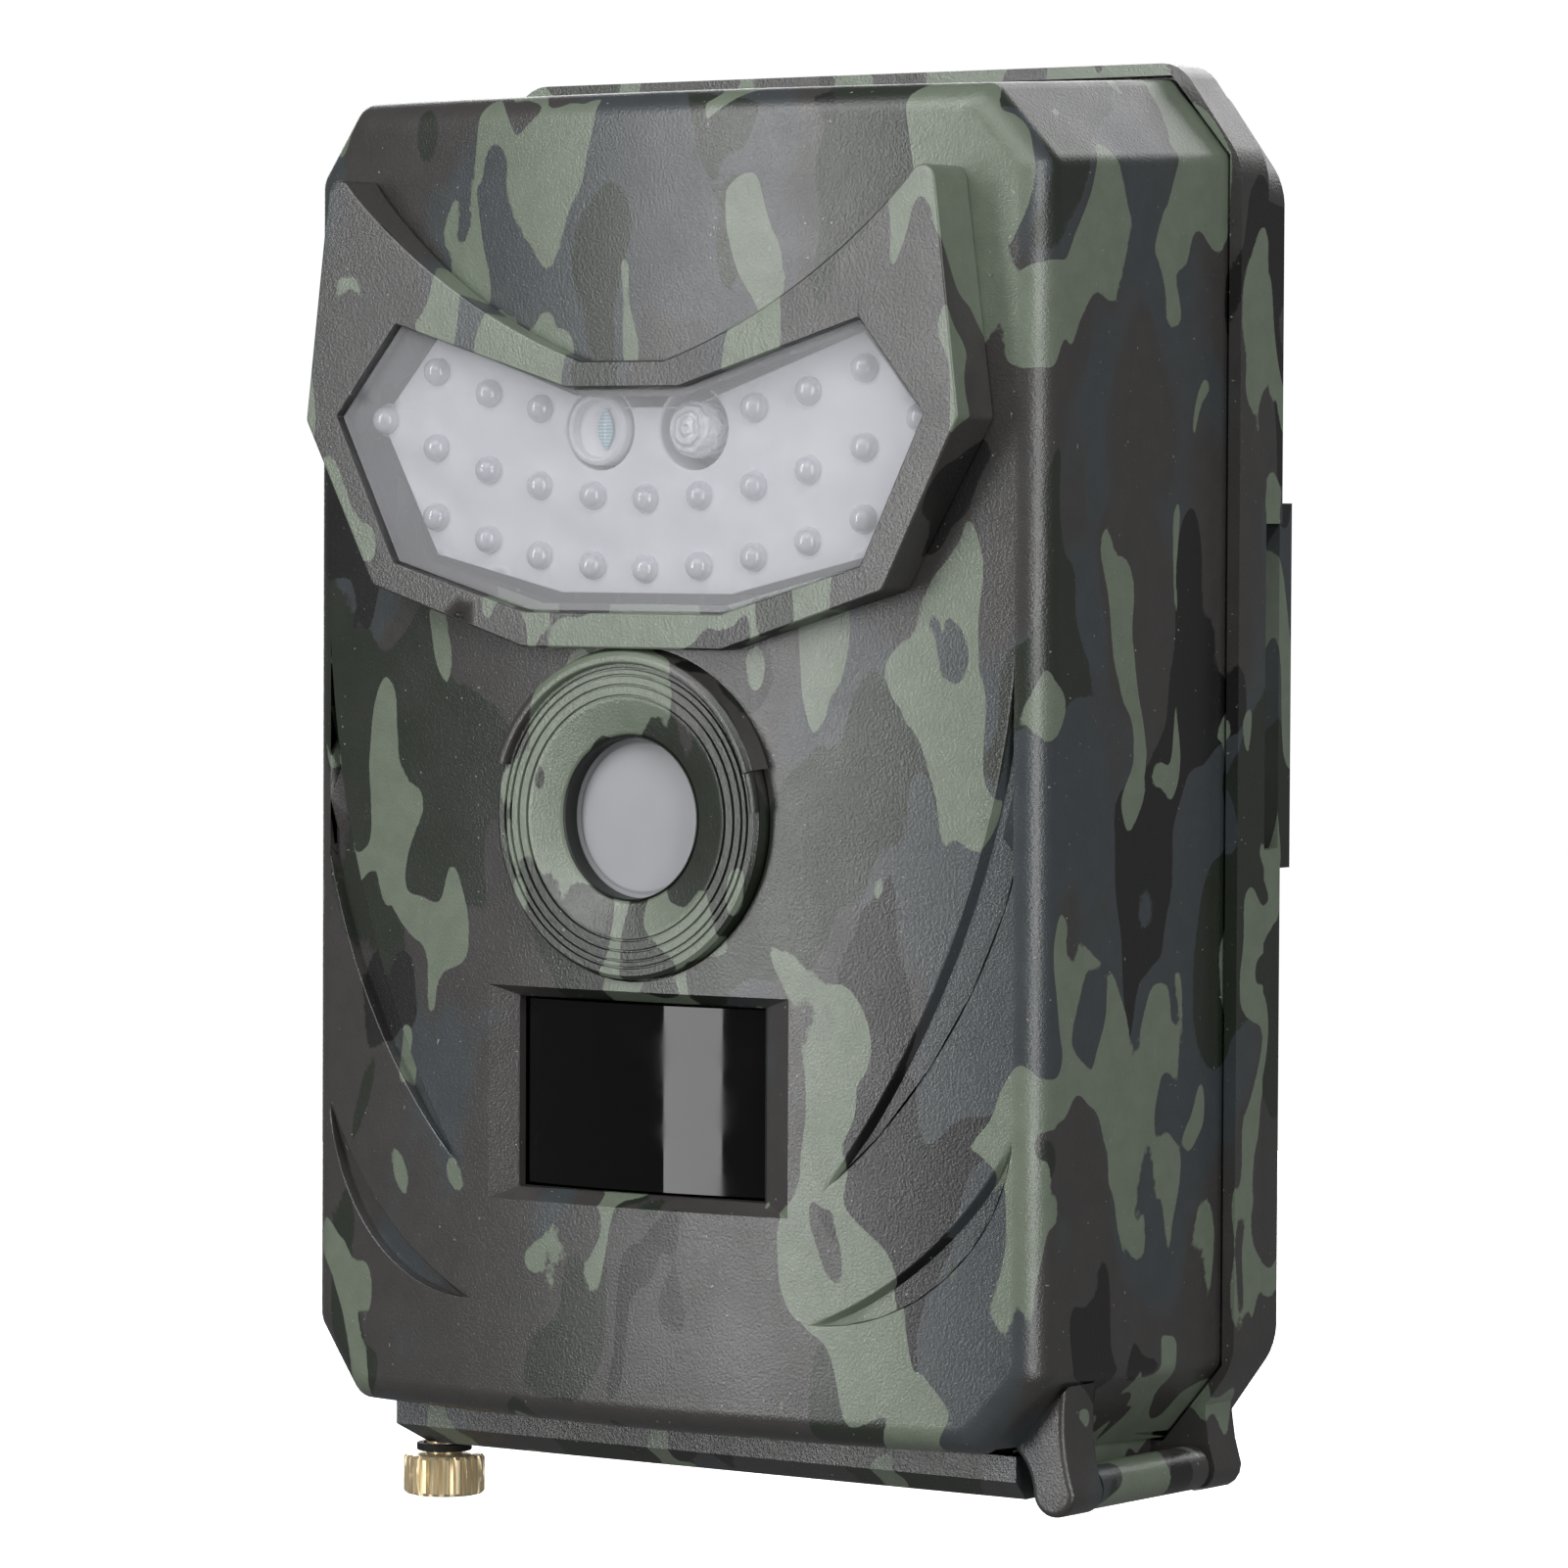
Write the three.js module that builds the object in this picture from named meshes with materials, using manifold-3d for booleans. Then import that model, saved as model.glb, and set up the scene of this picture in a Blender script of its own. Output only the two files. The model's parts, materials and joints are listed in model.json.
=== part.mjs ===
// A trail camera: a two-shell weatherproof case with a masked infrared flash, a lens, a motion sensor,
// strap bars at the back, and a bottom door over its controls and battery bay.
// Millimetres. X to the right, -Y out of the front, +Z up. The origin is the middle of the strap seat.
import * as THREE from "three";
import { mergeVertices } from "three/addons/utils/BufferGeometryUtils.js";
import Module from "manifold-3d";

// ---- Driving dimensions ----

const WALL = 2.2;
const GAP = 0.3;

// Levels along Y, from the front of the camera to the tree
const FRONT_Y = -42.8;
const MASK_Y = -44.9;
const RIM_Y = -5.2;
const SHELL_END_Y = -3.9;
const SHELF_Y = -2.3;
const SEAT_Y = 0;
const BACK_Y = 3.8;
const TREE_Y = 8.5;

// The case outline is a chamfered rectangle, wider towards the seam
const CROWN_RADIUS = 190;
const FRONT_EDGE_RADIUS = 3;
const FRONT_OUTLINE = { half: 46.3, top: 60.6, bottom: -76.4, cutX: 6.6, cutZ: 7.8 };
const SEAM_OUTLINE = { half: 47.5, top: 62.4, bottom: -77.6, cutX: 6.9, cutZ: 8.1 };
const RIM_OUTLINE = { half: 49.3, top: 64.0, bottom: -79.5, cutX: 7.6, cutZ: 10.2 };
const BACK_OUTLINE = { half: 48.9, top: 61.9, bottom: -78.3, cutX: 7.6, cutZ: 10.2 };

// Strap seat and bars
const SEAT_HALF_HEIGHT = 16.8;
const BAR = { x0: 42.3, x1: 47.2, half: 18.9, depth: 2.4 };

// Flash mask and window
const WINDOW = [
  [7.1, 30.45],
  [29.2, 37.15],
  [37.0, 27.6],
  [29.45, 12.4],
  [12.4, 7.4],
];
const LED_PITCH = 6.75;
const LED_ROW_BEND = 0.325;
const LED_RADIUS = 1.5;
const LED_ROWS = [
  { z: 27.05, from: 2, to: 4 },
  { z: 19.1, from: 0, to: 5 },
  { z: 11.9, from: 0, to: 4 },
];
const LED_BOARD_Y = -35.5;
const FLASH_SIDE = { x: 5.9, z: 26.2 };

// Lens and motion sensor
const LENS_Z = -13.5;
const LENS_RING_RADIUS = 16.5;
const LENS_RING_FRONT_Y = -44.0;
const LENS_OPENING = 8.5;
const PIR = { half: 19, top: -31.3, bottom: -53.5, innerHalf: 15.6, innerTop: -32.4, innerBottom: -52.1 };
const PIR_FLOOR_Y = -41.0;
const MAIN_BOARD_Y = -27.5;

// Bottom opening, door and hinge
const FLOOR_Z = -76.8;
const OPENING = { x0: -31.5, x1: 36.6, y0: -27.9, y1: -8.3 };
const DOOR = { x0: -39.5, x1: 39.6, y0: -31, y1: -5.7, top: -77.1, bottom: -81.6 };
const DOOR_FLOOR_Z = -79.8;
const DOOR_LIP = 1.3;
const DOOR_SLOPE = 1.9;
const HINGE = { x: 44.6, z: -80.3, barrel: 2.3, bore: 1.3, pin: 1.0 };
const KNUCKLE = { y0: -26, y1: -6 };
const SCREW = { x: -36.5, y: -26.5, shank: 1.9, knob: 4.35, knobTop: -83.0, knobBottom: -87.4 };

// Batteries: two columns of two AA cells
const CELL = { radius: 7.0, length: 49.2, pitch: 14.3, x: 21.2, y: -16.7, bottom: -73.3 };
const CELL_NUB_RADIUS = 2.7;
const CELL_NUB_HEIGHT = 1;
const CELL_ROW_GAP = 1.6;
const BAY_WALL = 0.8;
const BAY_TOP = 29.6;

// Control panel
const PANEL = { x0: -31.2, x1: 5.7, y0: -27.6, y1: -8.8, z0: -75.3, z1: -73.8 };
const BUTTON_RADIUS = 2;
const BUTTONS = {
  menu_button: [-4.0, -24.7],
  ok_button: [2.2, -24.7],
  up_button: [-4.0, -19.3],
  down_button: [2.2, -19.3],
};

const SWITCH = { x: -3.3, y: -14.6 };
const CARD = { x: -0.9, y: -10.55, width: 11, thickness: 0.9, z0: -75.9, z1: -60.9 };

// Screws that hold the two shells together: [x, z]
const CASE_SCREWS = [
  [-36.5, 54],
  [36.5, 54],
  [-41.2, -24.5],
  [41.2, -24.5],
  [-40.6, -64.5],
  [40.6, -64.5],
];
const BOARD_SCREWS = [
  [-34, 44.5],
  [34, 44.5],
  [-34, -40.5],
  [34, -40.5],
];
const TRIPOD = { x: 0, z: -45, boss: 11, insert: 5, bore: 3.1, depth: 9 };

// ---- Solids from three.js geometry ----

const wasm = await Module();
wasm.setup();

function solid(geometry) {
  const bare = geometry.index ? geometry.toNonIndexed() : geometry.clone();
  bare.deleteAttribute("normal");
  bare.deleteAttribute("uv");
  const merged = mergeVertices(bare, 1e-4);
  const index = merged.index.array;
  const corners = [];
  for (let i = 0; i < index.length; i += 3) {
    const [a, b, c] = index.slice(i, i + 3);
    if (a !== b && b !== c && c !== a) corners.push([a, b, c]);
  }
  const vertProperties = merged.attributes.position.array;
  const build = (triangles) =>
    new wasm.Manifold(
      new wasm.Mesh({ numProp: 3, vertProperties, triVerts: new Uint32Array(triangles.flat()) }),
    );
  const made = build(corners);
  return made.volume() < 0 ? build(corners.map(([a, b, c]) => [a, c, b])) : made;
}

function geometryOf(body) {
  const mesh = body.getMesh();
  const positions = new Float32Array(mesh.numVert * 3);
  for (let i = 0; i < mesh.numVert; i++) {
    const at = i * mesh.numProp;
    positions.set(mesh.vertProperties.subarray(at, at + 3), i * 3);
  }
  const geometry = new THREE.BufferGeometry();
  geometry.setAttribute("position", new THREE.BufferAttribute(positions, 3));
  geometry.setIndex(new THREE.BufferAttribute(mesh.triVerts, 1));
  geometry.computeVertexNormals();
  return geometry;
}

function box(x0, x1, y0, y1, z0, z1) {
  const geometry = new THREE.BoxGeometry(x1 - x0, y1 - y0, z1 - z0);
  return solid(geometry.translate((x0 + x1) / 2, (y0 + y1) / 2, (z0 + z1) / 2));
}

function rodY(radius, y0, y1, x, z, sides = 20) {
  const geometry = new THREE.CylinderGeometry(radius, radius, y1 - y0, sides);
  return solid(geometry.translate(x, (y0 + y1) / 2, z));
}

function rodZ(radius, z0, z1, x, y, sides = 20) {
  const geometry = new THREE.CylinderGeometry(radius, radius, z1 - z0, sides).rotateX(Math.PI / 2);
  return solid(geometry.translate(x, y, (z0 + z1) / 2));
}

// A profile of [radius, y] points turned about a line along Y
function turnY(profile, x, z, sides = 32) {
  const points = profile.map(([r, y]) => new THREE.Vector2(r, y));
  return solid(new THREE.LatheGeometry(points, sides).translate(x, 0, z));
}

// An outline of [x, z] points drawn through from y0 to y1
function plateY(outline, y0, y1) {
  const shape = new THREE.Shape(outline.map(([x, z]) => new THREE.Vector2(x, z)));
  const geometry = new THREE.ExtrudeGeometry(shape, { depth: y1 - y0, bevelEnabled: false });
  return solid(geometry.rotateX(Math.PI / 2).translate(0, y1, 0));
}

// An outline of [x, y] points drawn up from z0 to z1
function plateZ(outline, z0, z1) {
  const shape = new THREE.Shape(outline.map(([x, y]) => new THREE.Vector2(x, y)));
  const geometry = new THREE.ExtrudeGeometry(shape, { depth: z1 - z0, bevelEnabled: false });
  return solid(geometry.translate(0, 0, z0));
}

const joined = (...bodies) => bodies.reduce((all, body) => all.add(body));
const cut = (body, ...tools) => tools.reduce((left, tool) => left.subtract(tool), body);
const mirrored = (points) => [...points, ...points.map(([x, z]) => [-x, z]).reverse()];
const crown = (x) => CROWN_RADIUS - Math.sqrt(CROWN_RADIUS ** 2 - x ** 2);

// Points on the arc through a, b and c, from a to c
function arcThrough(a, b, c, steps) {
  const d = 2 * (a[0] * (b[1] - c[1]) + b[0] * (c[1] - a[1]) + c[0] * (a[1] - b[1]));
  const [sa, sb, sc] = [a, b, c].map(([x, z]) => x * x + z * z);
  const cx = (sa * (b[1] - c[1]) + sb * (c[1] - a[1]) + sc * (a[1] - b[1])) / d;
  const cz = (sa * (c[0] - b[0]) + sb * (a[0] - c[0]) + sc * (b[0] - a[0])) / d;
  const radius = Math.hypot(a[0] - cx, a[1] - cz);
  const start = Math.atan2(a[1] - cz, a[0] - cx);
  const end = Math.atan2(c[1] - cz, c[0] - cx);
  const full = 2 * Math.PI;
  const left = (end - start + 2 * full) % full;
  const turn = d > 0 ? left : left - full;
  return Array.from({ length: steps + 1 }, (_, i) => {
    const angle = start + (turn * i) / steps;
    return [cx + radius * Math.cos(angle), cz + radius * Math.sin(angle)];
  });
}

// ---- The case's chamfered outline, as rings joined into a block ----

const STATIONS = 14;

function inset(outline, by) {
  const slant = Math.hypot(outline.cutX, outline.cutZ);
  return {
    half: outline.half - by,
    top: outline.top - by,
    bottom: outline.bottom + by,
    cutX: outline.cutX - by * (1 + (outline.cutX - slant) / outline.cutZ),
    cutZ: outline.cutZ - by * (1 + (outline.cutZ - slant) / outline.cutX),
  };
}

function between(a, b, share) {
  return Object.fromEntries(Object.keys(a).map((key) => [key, a[key] + (b[key] - a[key]) * share]));
}

// The ring's upper points from left to right, then its lower points from right to left
function ringOf(outline, depthAt) {
  const flat = outline.half - outline.cutX;
  const xs = Array.from({ length: STATIONS - 1 }, (_, i) => -flat + (2 * flat * i) / (STATIONS - 2));
  const top = xs.map((x) => [x, outline.top]);
  const bottom = xs.map((x) => [x, outline.bottom]);
  const topEnds = outline.top - outline.cutZ;
  const bottomEnds = outline.bottom + outline.cutZ;
  const upper = [[-outline.half, topEnds], ...top, [outline.half, topEnds]];
  const lower = [[-outline.half, bottomEnds], ...bottom, [outline.half, bottomEnds]];
  return [...upper, ...lower.reverse()].map(([x, z]) => [x, depthAt(x), z]);
}

// Both ends are filled in upright strips, so that a crowned end stays a smooth cylinder
function block(rings) {
  const count = rings[0].length;
  const corners = [];
  const quad = (a, b, c, d) => corners.push(a, b, c, a, c, d);
  const strips = (ring, flip) => {
    for (let i = 0; i < count / 2 - 1; i++) {
      const [a, b, c, d] = [ring[i], ring[i + 1], ring[count - 2 - i], ring[count - 1 - i]];
      flip ? quad(d, c, b, a) : quad(a, b, c, d);
    }
  };
  strips(rings[0], false);
  for (let r = 0; r + 1 < rings.length; r++) {
    for (let i = 0; i < count; i++) {
      const next = (i + 1) % count;
      quad(rings[r][next], rings[r][i], rings[r + 1][i], rings[r + 1][next]);
    }
  }
  strips(rings[rings.length - 1], true);
  const geometry = new THREE.BufferGeometry();
  geometry.setAttribute("position", new THREE.Float32BufferAttribute(corners.flat(), 3));
  return solid(geometry);
}

// The front shell's outside, moved inwards by a distance, and drawn back to endY
function frontBlock(by, endY) {
  const edge = Math.max(FRONT_EDGE_RADIUS - by, 0.4);
  const turns = [0, 30, 60, 90].map((degrees) => (degrees * Math.PI) / 180);
  const front = turns.map((angle) =>
    ringOf(
      inset(FRONT_OUTLINE, by + edge * (1 - Math.sin(angle))),
      (x) => FRONT_Y + by + crown(x) + edge * (1 - Math.cos(angle)),
    ),
  );
  const seamShare = (endY - FRONT_Y) / (SHELL_END_Y - FRONT_Y);
  const end = inset(between(FRONT_OUTLINE, SEAM_OUTLINE, seamShare), by);
  return block([...front, ringOf(end, () => endY)]);
}

const straightBlock = (outline, y0, y1) => block([ringOf(outline, () => y0), ringOf(outline, () => y1)]);

// ---- Front of the case ----

const windowOutline = (by) => {
  const centre = [0, 22];
  return mirrored(WINDOW).map(([x, z]) => {
    const reach = Math.hypot(x - centre[0], z - centre[1]);
    return [x - (by * (x - centre[0])) / reach, z - (by * (z - centre[1])) / reach];
  });
};

// Half of the mask's outline: the brow curve up to the horn, round its tip, and down the outer edge
const maskOutline = mirrored([
  ...arcThrough([5.2, 33.1], [22.4, 41.1], [34.6, 50.6], 6),
  ...arcThrough([35.4, 51.5], [36.9, 52.2], [38.2, 51.0], 3),
  [41.1, 27.2],
  [32.2, 10.0],
  [12.6, 3.8],
]);

const claws = [
  { tip: [22.9, -50.8], inner: [37.8, -22.8], outer: [41.6, -24.0], top: [43.7, 13.2] },
  { tip: [21.5, -64.2], inner: [35.3, -55.4], outer: [38.6, -56.4], top: [43.4, -44.4] },
];

function clawCutters() {
  const under = frontBlock(0.8, SHELL_END_Y);
  const shapes = claws.flatMap(({ tip, inner, outer, top }) => {
    const up = arcThrough(tip, inner, top, 8);
    const down = arcThrough(top, outer, tip, 8).slice(1, -1);
    const outline = [...up, ...down];
    return [outline, outline.map(([x, z]) => [-x, z])];
  });
  return shapes.map((outline) => cut(plateY(outline, MASK_Y, FRONT_Y + 8), under));
}

function pirRecess() {
  const y = FRONT_Y + crown(PIR.half);
  const mouth = [
    [-PIR.half, y, PIR.top],
    [PIR.half, y, PIR.top],
    [PIR.half, y, PIR.bottom],
    [-PIR.half, y, PIR.bottom],
  ];
  const lift = mouth.map(([x, , z]) => [x, MASK_Y, z]);
  const floor = [
    [-PIR.innerHalf, PIR_FLOOR_Y, PIR.innerTop],
    [PIR.innerHalf, PIR_FLOOR_Y, PIR.innerTop],
    [PIR.innerHalf, PIR_FLOOR_Y, PIR.innerBottom],
    [-PIR.innerHalf, PIR_FLOOR_Y, PIR.innerBottom],
  ];
  const through = box(-PIR.innerHalf, PIR.innerHalf, -42, -38, PIR.innerBottom, PIR.innerTop);
  return joined(block([lift, mouth, floor]), through);
}

// An ear reaches down from the case's lower corner to hold the hinge pin
function ear(y0, y1) {
  const { x, z, barrel } = HINGE;
  const reach = barrel + 0.2;
  const rightSide = arcThrough([46.2, -69.5], [45.9, -74.5], [x + reach, z], 4);
  const round = arcThrough([x + reach, z], [x, z - reach], [x - reach, z], 8);
  const leftSide = arcThrough([x - reach, z], [41.5, -78.2], [39.9, -76.2], 4);
  return plateY([...rightSide, ...round.slice(1, -1), ...leftSide, [39.9, -75], [44, -71]], y0, y1);
}

function frontShell() {
  const posts = CASE_SCREWS.map(([x, z]) => rodY(2.9, FRONT_Y + 1, SHELL_END_Y - 0.1, x, z, 16));
  const standoffs = BOARD_SCREWS.map(([x, z]) => rodY(2.2, FRONT_Y + 1, MAIN_BOARD_Y - GAP, x, z, 12));
  const insertPad = rodZ(4.3, -78, -68, SCREW.x, SCREW.y, 16);
  const inner = joined(...posts, ...standoffs, insertPad).intersect(frontBlock(WALL / 2, SHELL_END_Y - 0.1));
  const skin = cut(frontBlock(0, SHELL_END_Y), frontBlock(WALL, SHELL_END_Y + 2));
  const { x0, x1, y0, y1 } = OPENING;
  const tipX = LED_PITCH * 5;
  const tipZ = LED_ROWS[1].z + LED_ROW_BEND * 25;
  return cut(
    joined(skin, inner, ear(-32, -26.5)),
    box(-40, DOOR.x1 + 0.1, DOOR.y0 - GAP, DOOR.y1 + GAP, -90, FLOOR_Z),
    box(x0, x1, y0, y1, -90, -70),
    rodZ(3.5, -90, -69.5, SCREW.x, SCREW.y, 20),
    rodY(HINGE.bore, -31.4, -20, HINGE.x, HINGE.z, 16),
    plateY(windowOutline(1.2), -50, -38),
    ...[-1, 1].map((side) => rodY(LED_RADIUS + GAP, -50, -36, side * tipX, tipZ, 16)),
    rodY(LENS_RING_RADIUS - 1.2, -50, -38, 0, LENS_Z, 48),
    rodY(LENS_RING_RADIUS + GAP, -50, -41.2, 0, LENS_Z, 48),
    pirRecess(),
    ...clawCutters(),
    ...CASE_SCREWS.map(([x, z]) => rodY(1.6, -20, 0, x, z, 12)),
    ...BOARD_SCREWS.map(([x, z]) => rodY(0.9, -34, -20, x, z, 8)),
  );
}

function flashMask() {
  const body = plateY(maskOutline, MASK_Y, FRONT_Y + 6);
  return cut(body, frontBlock(-GAP, SHELL_END_Y), plateY(windowOutline(0), -50, -30));
}

function ledArray() {
  const leds = LED_ROWS.flatMap(({ z, from, to }) => {
    const steps = Array.from({ length: to - from + 1 }, (_, i) => from + i);
    const both = [...steps, ...steps.filter((k) => k > 0).map((k) => -k)];
    return both.map((k) => [k * LED_PITCH, z + LED_ROW_BEND * k * k]);
  });
  const front = LED_BOARD_Y - 5.3;
  const profile = [
    [0, front],
    [0.85, front + 0.25],
    [1.35, front + 0.85],
    [LED_RADIUS, front + 1.6],
    [LED_RADIUS, LED_BOARD_Y - 0.8],
    [0, LED_BOARD_Y - 0.8],
  ];
  const holder = plateY(windowOutline(2.6), LED_BOARD_Y - 1.2, LED_BOARD_Y - GAP);
  const holes = [-1, 1].map((side) => rodY(4.2, -40, -30, side * FLASH_SIDE.x, FLASH_SIDE.z, 16));
  return joined(cut(holder, ...holes), ...leds.map(([x, z]) => turnY(profile, x, z, 8)));
}

function ledBoard() {
  return plateY(windowOutline(1.2), LED_BOARD_Y, LED_BOARD_Y + 1.2);
}

// A round part of the flash: a domed front over a straight body that stands on the board
function flashRound(side, radius, frontY) {
  const profile = [
    [0, frontY],
    [radius * 0.6, frontY + 0.3],
    [radius, frontY + 1.2],
    [radius, LED_BOARD_Y - GAP],
    [0, LED_BOARD_Y - GAP],
  ];
  return turnY(profile, side * FLASH_SIDE.x, FLASH_SIDE.z, 20);
}

// ---- Lens ----

function lensRing() {
  const front = LENS_RING_FRONT_Y;
  const profile = [
    [LENS_RING_RADIUS, front + 0.3],
    [LENS_RING_RADIUS, -41.5],
    [LENS_RING_RADIUS - 1.6, -41.5],
    [LENS_RING_RADIUS - 1.6, -38.2],
    [9.9, -38.2],
    [9.9, -41.9],
    [LENS_OPENING, -41.9],
    [LENS_OPENING, -43.2],
    [11.6, -43.9],
    [12.2, front],
    [LENS_RING_RADIUS - 0.3, front],
    [LENS_RING_RADIUS, front + 0.3],
  ];
  const groove = (radius) =>
    turnY(
      [
        [radius - 0.15, front - 1],
        [radius - 0.15, front + 0.3],
        [radius + 0.15, front + 0.3],
        [radius + 0.15, front - 1],
        [radius - 0.15, front - 1],
      ],
      0,
      LENS_Z,
      40,
    );
  const lip = arcBand(15.7, 16.6, 18, 161, 12);
  const tab = arcBand(15.7, 16.4, 3, 18, 2);
  return joined(
    cut(turnY(profile, 0, LENS_Z, 40), ...[12.4, 13.6, 14.7].map(groove)),
    plateY(lip, front - 0.8, front + 0.5),
    plateY(tab, front - 0.4, front + 0.5),
  );
}

// A band between two radii and two angles round the lens, as an [x, z] outline
function arcBand(inner, outer, fromDegrees, toDegrees, steps) {
  const edge = (radius) =>
    Array.from({ length: steps + 1 }, (_, i) => {
      const angle = THREE.MathUtils.degToRad(fromDegrees + ((toDegrees - fromDegrees) * i) / steps);
      return [radius * Math.cos(angle), LENS_Z + radius * Math.sin(angle)];
    });
  return [...edge(outer), ...edge(inner).reverse()];
}

function ringY(outer, inner, y0, y1, x, z, sides) {
  return cut(rodY(outer, y0, y1, x, z, sides), rodY(inner, y0 - 1, y1 + 1, x, z, sides));
}

function lensHolder() {
  const base = box(-8.5, 8.5, -33.5, MAIN_BOARD_Y - GAP, LENS_Z - 8, LENS_Z + 8);
  return cut(
    joined(base, rodY(7.2, -37.4, -33, 0, LENS_Z, 24)),
    rodY(6.0, -40, -31.6, 0, LENS_Z, 24),
    rodY(4.2, -40, -20, 0, LENS_Z, 20),
    box(-12, 12, -31.3, -30.1, LENS_Z - 4.6, LENS_Z + 4.6),
    box(-5, 5, -29.5, -20, LENS_Z - 4.4, LENS_Z + 4.4),
  );
}

function lensBarrel() {
  const profile = [
    [4.6, -38.0],
    [5.7, -37.7],
    [5.7, -31.9],
    [3.2, -31.9],
    [3.2, -36.4],
    [4.3, -36.4],
    [4.6, -38.0],
  ];
  return turnY(profile, 0, LENS_Z, 24);
}

function lensGlass() {
  const profile = [
    [0, -37.9],
    [2.4, -37.6],
    [3.8, -36.7],
    [2.8, -36.6],
    [2.8, -35.4],
    [0, -35.4],
  ];
  return turnY(profile, 0, LENS_Z, 24);
}

function irFilter() {
  const frame = box(-11, 5, -31.0, -30.4, LENS_Z - 4.2, LENS_Z + 4.2);
  return cut(frame, ...[-6, 0].map((x) => rodY(2.4, -32, -29, x, LENS_Z, 16)));
}

// ---- Motion sensor ----

function pirLens() {
  const half = PIR.innerHalf - GAP;
  const front = arcThrough([-half, crown(half)], [0, 0], [half, crown(half)], 12);
  const outline = [...front, ...front.map(([x, y]) => [x, y + 1]).reverse()];
  const panel = outline.map(([x, y]) => [x, y + PIR_FLOOR_Y - 0.4]);
  return plateZ(panel, PIR.innerBottom + GAP, PIR.innerTop - GAP);
}

// ---- Rear shell ----

function rearShell() {
  const outer = joined(straightBlock(RIM_OUTLINE, RIM_Y, SEAT_Y), straightBlock(BACK_OUTLINE, -0.5, BACK_Y));
  const socket = straightBlock(inset(SEAM_OUTLINE, -0.35), RIM_Y - 1, SHELF_Y);
  const pocket = straightBlock(inset(BACK_OUTLINE, 4.2), SHELF_Y - 1, BACK_Y - WALL);
  const seatWall = box(-60, 60, SEAT_Y - WALL, BACK_Y, -SEAT_HALF_HEIGHT - WALL, SEAT_HALF_HEIGHT + WALL);
  const bosses = CASE_SCREWS.map(([x, z]) => rodY(3.6, SHELL_END_Y + GAP, BACK_Y - 1, x, z, 16));
  const tripodBoss = rodY(TRIPOD.boss, 0, TREE_Y, TRIPOD.x, TRIPOD.z, 32);
  const tripodCore = rodY(TRIPOD.insert + 2, -3, 2, TRIPOD.x, TRIPOD.z, 20);
  const ribs = [-22, 22].map((x) => box(x - 2, x + 2, BACK_Y - 1, BACK_Y + 2.2, 24, 54));
  const seat = box(-60, 60, SEAT_Y, 20, -SEAT_HALF_HEIGHT, SEAT_HALF_HEIGHT);
  let shell = cut(outer, socket, cut(pocket, seatWall, ...bosses));
  shell = joined(shell, tripodBoss, tripodCore, ...ribs, cut(ear(RIM_Y, SEAT_Y), socket));
  shell = cut(shell, seat);
  const bars = [-1, 1].flatMap((side) => strapBar(side));
  return cut(
    joined(shell, ...bars),
    rodY(TRIPOD.insert + GAP, TREE_Y - TRIPOD.depth - 0.5, 20, TRIPOD.x, TRIPOD.z, 24),
    rodY(HINGE.bore, -10, -0.8, HINGE.x, HINGE.z, 16),
    ...CASE_SCREWS.map(([x, z]) => rodY(1.6, -10, 10, x, z, 12)),
    ...CASE_SCREWS.map(([x, z]) => rodY(3.0, 1.2, 10, x, z, 16)),
  );
}

// A strap bar stands off the back on an arm at each end
function strapBar(side) {
  const [x0, x1] = [BAR.x0 * side, BAR.x1 * side].sort((a, b) => a - b);
  const arms = [-1, 1].map((end) => {
    const [z0, z1] = [SEAT_HALF_HEIGHT * end, BAR.half * end].sort((a, b) => a - b);
    return box(x0, x1, BACK_Y - 2, TREE_Y, z0, z1);
  });
  return [...arms, box(x0, x1, TREE_Y - BAR.depth, TREE_Y, -BAR.half, BAR.half)];
}

function caseGasket() {
  const outside = straightBlock(inset(SEAM_OUTLINE, 0.3), SHELL_END_Y + GAP, SHELF_Y - GAP);
  return cut(outside, straightBlock(inset(SEAM_OUTLINE, 1.9), -10, 10));
}

function tripodInsert() {
  const { x, z, insert, bore, depth } = TRIPOD;
  return cut(
    rodY(insert, TREE_Y - depth, TREE_Y - 0.1, x, z, 24),
    rodY(bore, TREE_Y - depth + 1, TREE_Y + 2, x, z, 20),
  );
}

function caseScrew([x, z]) {
  const profile = [
    [0, -16],
    [1.25, -15],
    [1.25, 1.5],
    [2.6, 1.5],
    [2.6, 2.8],
    [1.8, 3.4],
    [0, 3.4],
  ];
  return cut(
    turnY(profile, x, z, 12),
    box(x - 1.3, x + 1.3, 2.6, 5, z - 0.3, z + 0.3),
    box(x - 0.3, x + 0.3, 2.6, 5, z - 1.3, z + 1.3),
  );
}

function boardScrew([x, z]) {
  const backY = MAIN_BOARD_Y + 1.4;
  return joined(rodY(0.7, -33, backY + 0.4, x, z, 8), rodY(1.9, backY + 0.1, backY + 0.9, x, z, 12));
}

// ---- Boards ----

function mainBoard() {
  const board = box(-37.6, 37.6, MAIN_BOARD_Y, MAIN_BOARD_Y + 1.4, -48.5, 48);
  return cut(board, ...BOARD_SCREWS.map(([x, z]) => rodY(1.0, -40, -20, x, z, 12)));
}

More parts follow.
